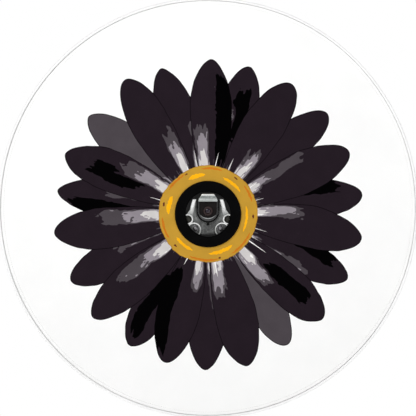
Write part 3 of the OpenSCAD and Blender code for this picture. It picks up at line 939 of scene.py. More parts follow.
    # normals from the relief itself, so that the cut-up print shades as one sheet
    d = 0.8
    gx = (face_relief(v[:, 0] + d, v[:, 1]) - face_relief(v[:, 0] - d, v[:, 1])) / (2 * d)
    gz = (face_relief(v[:, 0], v[:, 1] + d) - face_relief(v[:, 0], v[:, 1] - d)) / (2 * d)
    nrm = np.stack([-gx, -np.ones(n), -gz], -1)
    nrm /= np.linalg.norm(nrm, axis=1)[:, None]
    loops = np.zeros(len(mesh.loops), np.int64)
    mesh.loops.foreach_get("vertex_index", loops)
    ln = np.where((loops < n)[:, None], nrm[loops % n], -nrm[loops % n])
    fn = np.zeros(len(mesh.polygons) * 3)
    mesh.polygons.foreach_get("normal", fn)
    ln[6 * len(f):] = np.repeat(fn.reshape(-1, 3)[2 * len(f):], 4, 0)
    mesh.normals_split_custom_set(ln.tolist())
    print("face:", len(f), "front triangles,", count, "contour edges")
    return ob


face = build_face()
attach(face, "cover")
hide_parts("face_panel")


# ------------------------------------------------------------------ stitches
def stitches(name, points, outward, pitch, along=None, width=0.85, height=0.42, gap=0.30, closed=True, tilt=0.0, mat=None):
    """A row of thread dabs along a path. points and outward are functions of a place s from 0 to 1."""
    ring, secs = 6, [(-1.0, 0.0), (-0.86, 0.62), (-0.35, 1.0), (0.35, 1.0), (0.86, 0.62), (1.0, 0.0)]
    s = np.linspace(0, 1, 2001)
    P = points(s)
    total = np.linalg.norm(np.diff(P, axis=0), axis=1).sum()
    n = int(total / pitch)
    verts, faces = [], []
    half = pitch * (1 - gap) / 2
    for k in range(n):
        s0 = (k + 0.5) / n
        p = points(np.array([s0]))[0]
        q = points(np.array([min(s0 + 0.0004, 1.0)]))[0] - points(np.array([s0 - 0.0004]))[0]
        t = q / np.linalg.norm(q)
        o = outward(np.array([s0]))[0]
        o = o / np.linalg.norm(o)
        w = np.cross(o, t)
        t = t * math.cos(tilt) + w * math.sin(tilt)
        w = np.cross(o, t)
        base = len(verts)
        verts.append(p - t * half)
        for u, g in secs[1:-1]:
            for j in range(ring):
                a = TAU * j / ring
                verts.append(p + t * u * half + w * math.cos(a) * width / 2 * g + o * (math.sin(a) * height * g + height * 0.25))
        verts.append(p + t * half)
        end = len(verts) - 1
        m = len(secs) - 2
        for j in range(ring):
            j2 = (j + 1) % ring
            faces.append((base, base + 1 + j2, base + 1 + j))
            for i in range(m - 1):
                a0 = base + 1 + i * ring
                faces.append((a0 + j, a0 + j2, a0 + ring + j2, a0 + ring + j))
            a0 = base + 1 + (m - 1) * ring
            faces.append((end, a0 + j, a0 + j2))
    ob = make(name, np.asarray(verts) * MM, faces, [mat or THREAD], sharp=0)
    return ob


def ring_row(name, r_of, y_of, normal, pitch, **kw):
    """Stitches round the drum. r_of and y_of are functions of the angle, normal gives (radial, y) parts."""

    def pts(s):
        a = np.asarray(s) * TAU
        r, y = r_of(a), y_of(a)
        return np.stack([r * np.cos(a), y + 0 * a, r * np.sin(a)], -1)

    def out(s):
        a = np.asarray(s) * TAU
        return np.stack([normal[0] * np.cos(a), normal[1] + 0 * a, normal[0] * np.sin(a)], -1)

    return stitches(name, pts, out, pitch, **kw)


def relief_at(r, a):
    return face_relief(r * np.cos(a), r * np.sin(a))


edge_stitch = ring_row("face_edge_stitching", lambda a: 399.4 + 0 * a, lambda a: FACE_Y - relief_at(399.4, a), (0, -1), 4.4)
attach(edge_stitch, "cover")


# ------------------------------------------------------------------ piping
def piping_shape(T, R, Y):
    cr, cy = PIPE_R, PIPE_Y
    dr, dy = R - cr, Y - cy
    d = np.hypot(dr, dy)
    around = np.arctan2(dy, dr)
    twist = np.sin(T * 236 + around * 1.5 + 2.0 * ring_noise(T, 120, 31))
    k = np.where(d < 3.2, 1 + 0.018 * twist + 0.012 * ring_noise(T, 420, 32), 1.0)
    wave = 0.10 * ring_noise(T, 48, 33)
    return cr + dr * k + wave, cy + dy * k


a_ = np.arange(20) * TAU / 20
tube = np.stack([PIPE_R + 2.6 * np.cos(a_), PIPE_Y + 2.6 * np.sin(a_)], -1)
flange = [(405.42, -2.6), (405.42, 10.0), (405.7, 10.3), (406.5, 10.3), (406.78, 10.0), (406.78, -2.6)]
piping = lathe("piping", [(tube, 0, False), (flange, 1, False)], 1080, [PIPE, BACK], piping_shape)
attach(piping, "cover")
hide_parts("piping_cover")


# ------------------------------------------------------------------ side band
def band_bump(T, Y):
    """How far the band stands from its cylinder, in mm."""
    front = np.exp(-np.clip(Y - BAND_Y0, 0, None) / 9.0)
    rear = np.exp(-np.clip(BAND_Y1 - Y, 0, None) / 16.0)
    edge = 0.42 * front * ring_noise(T, 190, 41) + 0.75 * rear * ring_noise(T, 130, 42)
    pull = 1.15 * smooth(110, BAND_Y1, Y) * noise2(T / TAU * 72, Y / 150.0, 43, 72) + 0.55 * noise2(T / TAU * 34, Y / 70.0, 44, 34)
    pull = pull + 0.6 * smooth(110, BAND_Y0, Y) * noise2(T / TAU * 96, Y / 130.0, 46, 96)
    crease = 0.55 * noise2(T / TAU * 26 + Y * 0.010, Y / 19.0, 45) * smooth(20, 60, Y) * (1 - smooth(190, 225, Y))
    sag = -0.9 * np.sin(np.clip((Y - BAND_Y0) / (BAND_Y1 - BAND_Y0), 0, 1) * math.pi)
    low = np.exp(-(((T - 1.5 * math.pi) / 0.30) ** 2))  # held flat round the strip and the eyelets
    held = 0.2 + 0.8 * smooth(BAND_Y0 + 5, BAND_Y0 + 24, Y)  # the seams hold the cloth
    held = held * (0.45 + 0.55 * smooth(BAND_Y1, BAND_Y1 - 22, Y))
    return (edge + 1.7 * (pull + crease) * held + sag) * (1 - 0.8 * low)


ys = np.concatenate([[BAND_Y0], np.linspace(BAND_Y0 + 0.6, BAND_Y1 - 0.6, 60), [BAND_Y1]])
outer = np.stack([np.full(len(ys), BAND_R), ys], -1)
inner = np.stack([np.full(len(ys), BAND_R - 1.0), ys], -1)[::-1]
prof = np.concatenate([outer, inner])
ids = [0] * (len(ys) - 1) + [0] + [1] * (len(ys) - 1) + [0]
BAND_N = 780


def eyelets():
    """Angle and y of each drain eyelet, with the grid corner of the band nearest to it."""
    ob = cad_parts["drain_eyelets"]
    v = np.array([tuple(ob.matrix_world @ q.co) for q in ob.data.vertices]) / MM
    found = []
    for s in (-1, 1):
        w = v[v[:, 0] * s > 0]
        a = np.arctan2(w[:, 2], w[:, 0]) % TAU
        at, y = (a.min() + a.max()) / 2, (w[:, 1].min() + w[:, 1].max()) / 2
        found.append((at, y, round(at / TAU * BAND_N), int(np.argmin(np.abs(ys - y)))))
    return found


EYELETS = eyelets()


def band_shape(T, R, Y):
    """The band's folds, and its grid drawn into a round hole at each eyelet."""
    Z, A = Y.copy(), T.copy()
    for at, y, i0, j0 in EYELETS:
        p = (T / TAU * BAND_N - i0) / 2
        q = (np.interp(Y, ys, np.arange(len(ys))) - j0) / 2
        s = np.maximum(np.abs(p), np.abs(q))
        near = (s > 0.9) & (s < 4)
        k = np.where(near, 1 - smooth(1, 4, s), 0.0)
        turn = np.arctan2(q, p)
        A = A + k * (at + 6.0 * s * np.cos(turn) / BAND_R - A)
        Z = Z + k * (y + 6.0 * s * np.sin(turn) - Z)
    return R + band_bump(T, Y), Z, A


band = lathe("side_band_cloth", [(prof, ids, False)], BAND_N, [WHITE, BACK], band_shape, openings=[e[2:] for e in EYELETS])
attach(band, "cover")
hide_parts("side_band")

band_stitch = ring_row("band_front_stitching", lambda a: BAND_R + band_bump(a, BAND_Y0 + 5.0), lambda a: BAND_Y0 + 5.0 + 0 * a, (1, 0), 4.4)
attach(band_stitch, "cover")


# ------------------------------------------------------------------ strip over the band's own joint, at the bottom
def build_strip():
    y0, y1 = lo("side_seam_strip").y / MM, hi("side_seam_strip").y / MM
    nu, nv = 15, 90
    half = hi("side_seam_strip").x / MM
    verts, faces, n = [], [], nu * nv
    for side in (0.85, 0.05):
        for j in range(nv):
            y = y0 + (y1 - y0) * j / (nv - 1)
            for i in range(nu):
                s = half * (2 * i / (nu - 1) - 1)
                a = 1.5 * math.pi + s / BAND_R
                end = max(0.0, 1 - min(y - y0, y1 - y) / 1.2)
                edge = max(0.0, 1 - (half - abs(s)) / 1.4)
                fold = 0.0 if side < 0.1 else -0.28 * max(end, edge) ** 2 + 0.05 * float(noise2(s / 3.0, y / 9.0, 51)) + 0.18 * (abs(abs(s) - half + 3.2) > 1.2) - 0.18
                r = BAND_R + float(band_bump(np.array([a]), np.array([y]))[0]) + side + fold
                verts.append((r * math.cos(a), y, r * math.sin(a)))
    for j in range(nv - 1):
        for i in range(nu - 1):
            a = j * nu + i
            faces.append((a, a + 1, a + nu + 1, a + nu))
            faces.append((n + a, n + a + nu, n + a + nu + 1, n + a + 1))
    rim = [i for i in range(nu)] + [j * nu + nu - 1 for j in range(1, nv)] + [(nv - 1) * nu + i for i in range(nu - 2, -1, -1)] + [j * nu for j in range(nv - 2, 0, -1)]
    for p, q in zip(rim, rim[1:] + rim[:1]):
        faces.append((q, p, p + n, q + n))
    return make("band_seam_strip", np.asarray(verts) * MM, faces, [WHITE]), y0, y1, half


strip, sy0, sy1, shalf = build_strip()
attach(strip, "cover")
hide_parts("side_seam_strip")
for side in (-1, 1):
    s_off = side * (shalf - 3.2)
    ang = 1.5 * math.pi + s_off / BAND_R

    def strip_pts(s, ang=ang):
        y = sy0 + 2 + (sy1 - sy0 - 4) * np.asarray(s)
        r = BAND_R + band_bump(np.full(len(y), ang), y) + 0.67
        return np.stack([r * math.cos(ang), y, r * math.sin(ang)], -1)

    def strip_out(s, ang=ang):
        return np.stack([np.full(len(s), math.cos(ang)), np.zeros(len(s)), np.full(len(s), math.sin(ang))], -1)

    row = stitches("strip_stitching_" + ("left" if side < 0 else "right"), strip_pts, strip_out, 4.2)
    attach(row, "cover")


# ------------------------------------------------------------------ rear return, gathered by the elastic
def gather(T):
    """Height of the gathers round the rear, from 0 in the valleys to about 1."""
    ph = T * 96 + 2.6 * ring_noise(T, 24, 61) + 1.5 * ring_noise(T, 55, 62)
    w = (0.5 + 0.5 * np.cos(ph)) ** 0.75
    amp = 0.62 + 0.38 * ring_noise(T, 64, 63)
    return w * amp


def gather_wide(T):
    ph = T * 41 + 2.2 * ring_noise(T, 17, 64)
    return (0.5 + 0.5 * np.cos(ph)) ** 0.9 * (0.6 + 0.4 * ring_noise(T, 29, 65))


SH_R, SH_Y, SH = BAND_R - 20.0, REAR_Y - 20.0, 20.0
HEM_IN = 315.2


def rear_lift(T, R):
    """How far the return's folds stand out, in mm. Folds lean a little and fade towards the shoulder."""
    t = np.clip((SH_R + 8 - R) / (SH_R + 8 - HEM_IN), 0, 1)
    Tl = T + 0.010 * np.sin(T * 7 + R * 0.02)
    return 6.4 * t**1.7 * gather(Tl) + 3.4 * np.sin(t * math.pi * 0.62) ** 1.6 * gather_wide(Tl)


def return_shape(T, R, Y):
    lift = rear_lift(T, R)
    flat = smooth(SH_R + 14, SH_R - 8, R)
    y = Y + lift * flat
    r = R + band_bump(T, np.full_like(T, BAND_Y1)) * smooth(SH_R + 6, BAND_R, R)
    r = r + 1.1 * ring_noise(T, 96, 66) * smooth(330, HEM_IN, R)
    return r, y


arc_a = np.radians(np.linspace(0, 90, 12))
outer = [(BAND_R, REAR_Y - SH - 0.6)] + [(SH_R + SH * math.cos(a), SH_Y + SH * math.sin(a)) for a in arc_a]
outer += [(r, REAR_Y) for r in np.linspace(SH_R - 3, HEM_IN, 24)]
inner = [(r, REAR_Y - 1) for r in np.linspace(HEM_IN, SH_R - 3, 24)]
inner += [(SH_R + (SH - 1) * math.cos(a), SH_Y + (SH - 1) * math.sin(a)) for a in arc_a[::-1]] + [(BAND_R - 1, REAR_Y - SH - 0.6)]
ids = [0] * (len(outer) - 1) + [0] + [1] * (len(inner) - 1) + [0]
ret = lathe("rear_return_cloth", [(outer + inner, ids, False)], 1320, [WHITE, BACK], return_shape, sharp=60)
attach(ret, "cover")
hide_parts("rear_return")


# ------------------------------------------------------------------ seam tape round the rear of the band
ty0, ty1 = lo("rear_seam_tape").y / MM, hi("rear_seam_tape").y / MM


def tape_shape(T, R, Y):
    roll = 0.08 * ring_noise(T, 300, 71)
    return R + band_bump(T, Y) * 0.9 + np.where(R > BAND_R + 0.3, roll, 0), Y + 0.25 * ring_noise(T, 90, 72) * smooth(ty1, ty0, Y)


tape_pts = [(BAND_R + 0.10, ty0), (BAND_R + 0.55, ty0), (BAND_R + 0.85, ty0 + 0.6), (BAND_R + 0.9, ty0 + 2.0), (BAND_R + 0.72, ty0 + 3.0),
            (BAND_R + 0.9, ty0 + 4.2), (BAND_R + 0.95, (ty0 + ty1) / 2), (BAND_R + 0.9, ty1 - 4.2), (BAND_R + 0.72, ty1 - 3.0),
            (BAND_R + 0.9, ty1 - 2.0), (BAND_R + 0.85, ty1 - 0.6), (BAND_R + 0.55, ty1), (BAND_R + 0.10, ty1)]
tape = lathe("rear_seam_binding", [(tape_pts, 0, False)], 900, [WHITE], tape_shape)
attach(tape, "cover")
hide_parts("rear_seam_tape")
for k, yy in enumerate((ty0 + 3.0, ty1 - 3.0)):
    row = ring_row(f"seam_stitching_{k}", lambda a, yy=yy: BAND_R + 0.74 + 0.9 * band_bump(a, yy), lambda a, yy=yy: yy + 0 * a, (1, 0), 4.2)
    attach(row, "cover")


# ------------------------------------------------------------------ hem casing over the elastic
def hem_shape(T, R, Y):
    cr, cy = ELASTIC_R, HEM_Y
    dr, dy = R - cr, Y - cy
    d = np.hypot(dr, dy)
    tube = 1 - smooth(5.8, 9.0, dr)
    fine = np.cos(T * 192 + 2.0 * ring_noise(T, 70, 81))
    k = 1 + tube * (0.10 * fine * (d > 4.9) + 0.05 * ring_noise(T, 260, 82) * (d > 4.9))
    lift = rear_lift(T, np.full_like(T, HEM_IN))
    ride_up = lift * smooth(4.0, 14.0, dr) + (lift * 0.22 - 0.6) * (1 - smooth(4.0, 14.0, dr))
    wob = 0.7 * ring_noise(T, 96, 66)
    return cr + dr * k + wob, cy + dy * k + ride_up


def hem_profile():
    n = 26
    p = []
    a0 = math.asin(1.5 / 5.4)
    for i in range(n):
        a = a0 + (TAU - 2 * a0) * i / (n - 1)
        p.append((ELASTIC_R + 5.4 * math.cos(a), HEM_Y + 5.4 * math.sin(a)))
    low = [(ELASTIC_R + x, HEM_Y - y) for x, y in ((7.0, 1.2), (9.0, 1.15), (11.0, 1.15), (13.0, 1.1), (14.6, 0.8))]
    top = [(ELASTIC_R + x, HEM_Y + y) for x, y in ((14.6, 1.1), (13.0, 1.5), (11.4, 1.35), (9.6, 1.5), (7.6, 1.45))]
    return p + low + top


a_ = np.arange(24) * TAU / 24
cavity = np.stack([ELASTIC_R + 4.5 * np.cos(a_), HEM_Y + 4.5 * np.sin(a_)], -1)
hem = lathe("elastic_hem", [(hem_profile(), 0, False), (cavity, 1, True)], 1584, [WHITE, BACK], hem_shape, sharp=70)
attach(hem, "cover")
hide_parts("hem_casing")

hem_row = ring_row(
    "hem_stitching",
    lambda a: ELASTIC_R + 11.4 + 0.7 * ring_noise(a, 96, 66),
    lambda a: HEM_Y + 1.35 + rear_lift(a, np.full_like(a, HEM_IN)) * float(smooth(4.0, 14.0, 11.4)) + (rear_lift(a, np.full_like(a, HEM_IN)) * 0.22 - 0.6) * (1 - float(smooth(4.0, 14.0, 11.4))),
    (0, 1), 4.0)
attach(hem_row, "cover")


# ------------------------------------------------------------------ fleece lining behind the face
def build_lining():
    y0, y1 = lo("face_lining").y / MM, hi("face_lining").y / MM
    r_out, r_in = hi("face_lining").x / MM, 66.0
    nr, na = 64, 300
    verts, faces = [], []
    s = np.linspace(0, 1, nr)
    a = np.arange(na) * TAU / na
    S, A = np.meshgrid(s, a, indexing="ij")
    # rings slide from the port's off-centre hole to the rim
    cz = PORT_Z * (1 - S)
    R = r_in + (r_out - r_in) * S
    X, Z = R * np.cos(A), R * np.sin(A) + cz
    edge = np.minimum(S, 1 - S) * (r_out - r_in)
    rnd = 1.1 * np.exp(-edge / 1.4)
    puff = 0.28 * noise2(X / 26, Z / 26, 91) + 0.16 * noise2(X / 9, Z / 9, 92) - 0.30 - rnd - 0.5 * np.exp(-(((edge - 6) / 2.0) ** 2))
    rear = np.stack([X, np.full_like(X, y1) + puff, Z], -1).reshape(-1, 3)
    front = np.stack([X, np.full_like(X, y0 + 0.06) + 0 * X, Z], -1).reshape(-1, 3)
    n = nr * na
    verts = np.concatenate([rear, front])
    for i in range(nr - 1):
        for j in range(na):
            j2 = (j + 1) % na
            p, q, r_, t = i * na + j, i * na + j2, (i + 1) * na + j2, (i + 1) * na + j
            faces.append((p, q, r_, t))
            faces.append((n + p, n + t, n + r_, n + q))
    for j in range(na):
        j2 = (j + 1) % na
        faces.append((j2, j, n + j, n + j2))
        o = (nr - 1) * na
        faces.append((o + j, o + j2, n + o + j2, n + o + j))
    return make("fleece_lining", verts * MM, faces, [FLEECE], sharp=50)


lining = build_lining()
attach(lining, "cover")
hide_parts("face_lining")

# ------------------------------------------------------------------ CAD nodes that stay, with their finishes
BLACK_RING = moulded("moulded_black", (0.0007, 0.0007, 0.0009), 0.5, 0.03, 1100.0, 0.00004, 0.06)
POD = moulded("pod_black", (0.040, 0.040, 0.041), 0.45, 0.3, 1300.0, 0.00005, 0.5)
PLATE = cast("plate_black", (0.006, 0.006, 0.0065), 0.5, 0.0001)
WINDOW = moulded("window_tint", (0.006, 0.0045, 0.0045), 0.14, 0.17, 60.0, 0.000004, 0.3)
BARREL = moulded("barrel_black", (0.006, 0.005, 0.005), 0.5, 0.25, 900.0, 0.00004, 0.2)
RETAINER = moulded("retainer_brown", srgb(40, 26, 25), 0.4, 0.25, 900.0, 0.00003, 0.3)
FOAM = foam("foam_black", (0.02, 0.02, 0.021))
CRADLE = turned_cast("cradle_grey")
# The shoulders, boss rims and hood carry painted light by height: a painted highlight on their upper parts, painted
# shade lower down. The hood's groove material is darkened as painted shade. The window rim's metal is lighter towards
# its lower lip.
BRIGHT = height_shaded_metal("bright_trim", (0.97, 0.975, 0.97), (0.30, 0.31, 0.305), 0.3, PORT_Z - 1, PORT_Z + 15, 0.1)
RIM = height_shaded_metal("bright_rim", (0.95, 0.955, 0.95), (0.42, 0.43, 0.42), 0.24, PORT_Z - 34, PORT_Z - 19, 0.45)
HOOD = height_shaded_metal("hood_silver", (0.96, 0.97, 0.96), (0.46, 0.49, 0.48), 0.34, PORT_Z + 27, PORT_Z + 38, 0.5)
GROOVE_SHADE = height_shaded_metal("hood_groove_shade", (0.62, 0.65, 0.64), (0.30, 0.32, 0.315), 0.45, PORT_Z + 31, PORT_Z + 35, 0.5)
BEZEL = height_shaded_metal("window_bezel_metal", (0.035, 0.036, 0.036), (0.50, 0.52, 0.52), 0.36, PORT_Z - 7, PORT_Z - 1, 0.5)
OLIVE = moulded("cap_olive", (0.014, 0.0135, 0.0095), 0.4, 0.3, 900.0, 0.00004, 0.4)
BLACKOX = metal("black_oxide", (0.010, 0.010, 0.010), 0.45, (1, 1, 1), 400.0, 0.00003, 0.2)
ZINC = metal("zinc_screw", (0.62, 0.62, 0.63), 0.32, (1, 1, 1), 400.0, 0.00003, 0.12)
NICKEL = metal("nickel", (0.78, 0.77, 0.74), 0.22, (1, 1, 1), 260.0, 0.00002, 0.06)
DARKSTEEL = metal("dark_steel", (0.26, 0.255, 0.265), 0.42, (1, 1, 1), 400.0, 0.00005, 0.3)
NYLON = moulded("nylon", (0.78, 0.78, 0.74), 0.5, 0.4, 700.0, 0.00003, 0.05)
BOARD = moulded("board_green", (0.012, 0.10, 0.035), 0.35, 0.5, 500.0, 0.00004, 0.4)
SENSOR = moulded("sensor_glass", (0.01, 0.01, 0.016), 0.1, 0.6, 80.0, 0.000004, 0.3)
CORD = thread("welt_cord_fibre", (0.80, 0.80, 0.77))


def elastic_mat():
    m = Mat("elastic_braid", 0.75, spec=0.2, sheen=0.2)
    a = m.wave(700.0, "DIAGONAL", 0.3)
    b = m.wave(700.0, "DIAGONAL", 0.3, vector=m.scaled(-1, 1, 1))
    braid = m.math("MULTIPLY", a, b)
    m.colour(m.mix(braid, (0.008, 0.008, 0.009), (0.05, 0.05, 0.055)))
    m.roughness(m.remap(braid, 0, 1, 0.6, 0.85))
    m.bump(braid, 0.0002, 0.7)
    return m.m


def glass_mat():
    m = Mat("lens_glass_coated", 0.12, spec=0.35, coat=0.15)
    m.p.inputs["Coat Roughness"].default_value = 0.08
    m.p.inputs["IOR"].default_value = 1.5
    slow = m.noise(120.0, 2)
    m.colour(m.mix(m.remap(slow, 0.4, 0.6, 0, 1), (0.010, 0.006, 0.016), (0.018, 0.008, 0.012)))
    m.roughness(m.remap(slow, 0.3, 0.7, 0.10, 0.18))
    return m.m


FINISH = {
    "piping_cord": (CORD, 0), "elastic_cord": (elastic_mat(), 0), "elastic_ferrule": (NICKEL, 0.25),
    "drain_eyelets": (NICKEL, 0.3), "drain_washers": (NICKEL, 0.2),
    "port_ring_front": (BLACK_RING, 0.5), "port_ring_rear": (BLACK_RING, 0.4), "port_gasket": (FOAM, 0.4), "port_screws": (ZINC, 0.2),
    "camera_backplate": (PLATE, 0.4), "camera_cradle": (CRADLE, 0.45), "shoulder_trims": (BRIGHT, 0.8), "boss_rims": (RIM, 0.7), "boss_caps": (OLIVE, 0.3),
    "cradle_screws": (ZINC, 0.2), "cap_nuts": (DARKSTEEL, 0.3), "aim_clamp_screw": (BLACKOX, 0.3), "pivot_screws": (ZINC, 0.3),
    "friction_washers": (NYLON, 0.1), "pod_housing": (POD, 0.6), "lens_window": (WINDOW, 0.2),
    "lens_barrel": (BARREL, 0.3), "lens_retainer": (RETAINER, 0.15), "lens_glass": (glass_mat(), 0),
    "sensor_board": (BOARD, 0.1), "image_sensor": (SENSOR, 0.1), "pod_seal": (FOAM, 0.1), "pod_rear_cover": (POD, 0.5),
    "pod_cover_screws": (ZINC, 0.2), "cable_socket": (BLACK_RING, 0.4),
}
# Long thin triangles on these parts' flat faces would fold over at the bevels, so their flat faces are joined first
JOINED_FLATS = ("drain_eyelets", "port_ring_rear", "camera_backplate", "camera_cradle", "shoulder_trims", "pod_rear_cover")
for node, (material, width) in FINISH.items():
    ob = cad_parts[node]
    ob.data.materials.clear()
    ob.data.materials.append(material)
    weld = ob.modifiers.new("weld", "WELD")
    weld.merge_threshold = 2e-6
    if node in JOINED_FLATS:
        flat = ob.modifiers.new("flat", "DECIMATE")
        flat.decimate_type = "DISSOLVE"
        flat.angle_limit = math.radians(0.3)
    if width:
        bev = ob.modifiers.new("edge", "BEVEL")
        bev.width = width * MM
        bev.segments = 2
        bev.limit_method = "ANGLE"
        bev.angle_limit = math.radians(32)
        bev.use_clamp_overlap = True
    wn = ob.modifiers.new("normals", "WEIGHTED_NORMAL")
    wn.keep_sharp = False
    wn.weight = 60


# ------------------------------------------------------------------ hood over the lens
HOOD_LO, HOOD_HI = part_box("pod_hood")


def rel(z):
    return z - PORT_Z


def build_hood():
    """Two ridges with a groove between them. The profile runs in y and height, and the half width follows the height."""
    top, low = rel(HOOD_HI.z / MM), rel(HOOD_LO.z / MM)
    y0, y1 = HOOD_LO.y / MM, HOOD_HI.y / MM
    # the dark stretches, in the groove, on the rear face and underneath, take a metal darkened as painted shade
    bright, dark = 0, 1
    prof = [  # y, height, material of the stretch that follows
        (y1, 27.2, dark), (-15.2, 27.2, dark), (-15.2, low + 0.3, bright), (y0 + 1.2, low + 0.1, bright), (y0 + 0.4, low + 0.5, bright), (y0 + 0.05, low + 1.2, bright),
        (y0, 26.6, bright), (y0 + 0.12, 27.6, bright), (y0, 28.6, bright), (y0 + 0.1, 29.6, bright), (y0 + 0.5, 30.4, bright), (y0 + 1.3, 30.9, dark),
        (-18.6, 31.2, dark), (-17.2, 31.7, dark), (-16.4, 32.4, dark), (-16.2, 33.4, dark), (-16.4, 34.5, dark), (-17.0, 35.2, dark), (-18.4, 35.6, bright),
        (-20.2, 36.0, bright), (-20.9, 36.6, bright), (-21.0, 37.4, bright), (-20.8, top - 0.9, bright), (-20.1, top - 0.2, bright), (-19.2, top, bright), (y1 + -1.2, top, bright), (y1, top - 1.0, dark)]

    def half(z):
        return float(np.interp(z, [low, 30.6, 32.6, 35.2, top], [19.0, 17.25, 16.4, 14.8, 11.9]))

    # stations across: place from -1 to 1, how far in from the true end, and how much the profile shrinks there
    st = [(-1, 0.0, 0.9), (-1, 0.25, 0.45), (-1, 0.8, 0.12), (-1, 1.6, 0.0), (-0.5, 0, 0), (0, 0, 0), (0.5, 0, 0), (1, 1.6, 0.0), (1, 0.8, 0.12), (1, 0.25, 0.45), (1, 0.0, 0.9)]
    cy = np.mean([p[0] for p in prof])
    cz = np.mean([p[1] for p in prof])
    verts, faces, ids, k = [], [], [], len(prof)
    for u, inset, shrink in st:
        for y, z, _ in prof:
            x = u * half(z) if abs(u) < 1 else u * (half(z) - inset)
            ny, nz = y - cy, z - cz
            d = math.hypot(ny, nz)
            verts.append((x, y - ny / d * shrink, z - nz / d * shrink + PORT_Z))
    for i in range(len(st) - 1):
        for j in range(k):
            j2 = (j + 1) % k
            faces.append((i * k + j, (i + 1) * k + j, (i + 1) * k + j2, i * k + j2))
            ids.append(prof[j][2])
    faces.append(tuple(range(k)))
    faces.append(tuple((len(st) - 1) * k + j for j in range(k - 1, -1, -1)))
    ids += [0, 0]
    ob = make("lens_hood", np.asarray(verts) * MM, faces, [HOOD, GROOVE_SHADE], ids, sharp=50)
    bm = bmesh.new()
    bm.from_mesh(ob.data)
    bmesh.ops.recalc_face_normals(bm, faces=bm.faces)
    bmesh.ops.triangulate(bm, faces=[f for f in bm.faces if len(f.verts) > 4])
    bm.to_mesh(ob.data)
    bm.free()
    return ob


hood = build_hood()
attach(hood, "camera_pod")
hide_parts("pod_hood")


def build_bezel():
    """Rim of the window: narrow at the sides, with a wide lip below, rounded in section."""
    lo_, hi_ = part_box("window_bezel")
    r_out, flat = hi_.x / MM, 0.85
    cz = lo_.z / MM + r_out * flat
    top = hi_.z / MM - 0.1
    y_back, y_front = hi_.y / MM, lo_.y / MM
    path = []  # centre direction, and the outline's point
    n = 12
    for z in np.linspace(top, cz, n, endpoint=False):
        path.append(((1, 0), (0.0, z)))
    for a in np.linspace(0, math.pi, 49):
        path.append(((math.cos(a), -math.sin(a)), (0.0, cz)))
    for z in np.linspace(cz, top, n + 1)[1:]:
        path.append(((-1, 0), (0.0, z)))
    verts, faces = [], []
    sec = [(0.0, 0.0), (0.0, 0.62), (0.08, 0.86), (0.22, 1.0), (0.78, 1.0), (0.92, 0.86), (1.0, 0.62), (1.0, 0.0)]
    k = len(sec)
    for d, c in path:
        low = max(0.0, -d[1])
        w = 1.5 + 0.9 * low**3
        for u, h in sec:
            r = r_out - 0.15 - u * w
            verts.append((c[0] + d[0] * r, y_back - 0.02 + (y_front - y_back) * h * (1 - 0.12 * (1 - low)), c[1] + d[1] * r * flat))
    m = len(path)
    for i in range(m - 1):
        for j in range(k):
            j2 = (j + 1) % k
            faces.append((i * k + j, i * k + j2, (i + 1) * k + j2, (i + 1) * k + j))
    faces.append(tuple(range(k - 1, -1, -1)))
    faces.append(tuple((m - 1) * k + j for j in range(k)))
    ob = make("window_rim", np.asarray(verts) * MM, faces, [BEZEL], sharp=45)
    bm = bmesh.new()
    bm.from_mesh(ob.data)
    bmesh.ops.recalc_face_normals(bm, faces=bm.faces)
    bmesh.ops.triangulate(bm, faces=[f for f in bm.faces if len(f.verts) > 4])
    bm.to_mesh(ob.data)
    bm.free()
    return ob


bezel = build_bezel()
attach(bezel, "camera_pod")
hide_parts("window_bezel")

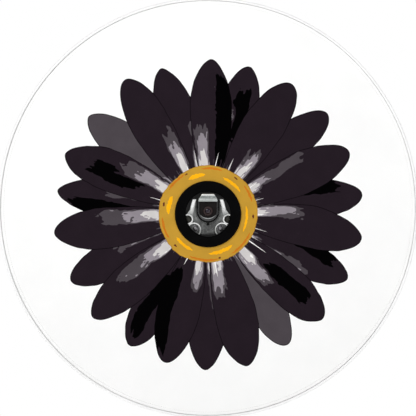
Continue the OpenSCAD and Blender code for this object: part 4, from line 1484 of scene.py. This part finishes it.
# ------------------------------------------------------------------ floor, light, camera
floor_m = Mat("studio_floor", 0.85, spec=0.1)
floor_m.colour(floor_m.mix(floor_m.remap(floor_m.noise(0.8, 3), 0.3, 0.7, 0, 1), (0.93, 0.93, 0.93), (0.95, 0.95, 0.95)))
floor_m.bump(floor_m.noise(60.0, 3), 0.0005, 0.1)
sep = floor_m.node("ShaderNodeVectorMath")
sep.operation = "LENGTH"
floor_m.wire(floor_m.co, sep.inputs[0])
glow = floor_m.remap(sep.outputs["Value"], 0.8, 3.6, 0.12, 1.0)  # the floor lightens into the backdrop
floor_m.wire(glow, floor_m.p.inputs["Emission Strength"])
floor_m.p.inputs["Emission Color"].default_value = (1, 1, 1, 1)
bm = bmesh.new()
bmesh.ops.create_circle(bm, cap_ends=True, radius=4.6, segments=96)
floor_mesh = bpy.data.meshes.new("studio_floor")
bm.to_mesh(floor_mesh)
bm.free()
floor = link("studio_floor", floor_mesh, [floor_m.m])
floor.location = (0, 0, -0.95)

# The backdrop is white to the eye, and lights the object less strongly than it looks
world = bpy.data.worlds.new("studio")
world.use_nodes = True
bpy.context.scene.world = world
wt = world.node_tree
bg = wt.nodes["Background"]
bg.inputs["Color"].default_value = (1, 1, 1, 1)
bg.inputs["Strength"].default_value = AMBIENT
seen = wt.nodes.new("ShaderNodeBackground")
seen.inputs["Color"].default_value = (1, 1, 1, 1)
seen.inputs["Strength"].default_value = 1.0
rays = wt.nodes.new("ShaderNodeLightPath")
both = wt.nodes.new("ShaderNodeMixShader")
wt.links.new(rays.outputs["Is Camera Ray"], both.inputs[0])
wt.links.new(bg.outputs[0], both.inputs[1])
wt.links.new(seen.outputs[0], both.inputs[2])
wt.links.new(both.outputs[0], wt.nodes["World Output"].inputs["Surface"])


def area(name, place, target, size, power):
    light = bpy.data.lights.new(name, "AREA")
    light.shape = "DISK"
    light.size = size
    light.energy = power
    ob = bpy.data.objects.new(name, light)
    bpy.context.scene.collection.objects.link(ob)
    ob.location = place
    ob.rotation_euler = (Vector(target) - Vector(place)).to_track_quat("-Z", "Y").to_euler()


area("key", (-1.9, -3.2, 2.3), (0, 0, 0), 2.2, 77)
area("fill", (1.5, -3.3, 0.3), (0, 0, 0), 1.6, 13)
area("rear", (1.9, 3.1, 2.3), (0, 0.1, 0), 1.8, 48)

cam = bpy.data.cameras.new("camera")
cam.lens = 200
cam.sensor_width = 36
cam_ob = bpy.data.objects.new("camera", cam)
bpy.context.scene.collection.objects.link(cam_ob)
plane_y = FACE_Y * MM
cam_ob.location = (0, plane_y - WIDTH * cam.lens / cam.sensor_width, 0)
cam_ob.rotation_euler = (math.pi / 2, 0, 0)
cam.clip_end = 200
bpy.context.scene.camera = cam_ob
bpy.context.scene.view_settings.view_transform = "Standard"
bpy.context.scene.view_settings.look = "None"

bpy.context.view_layer.update()
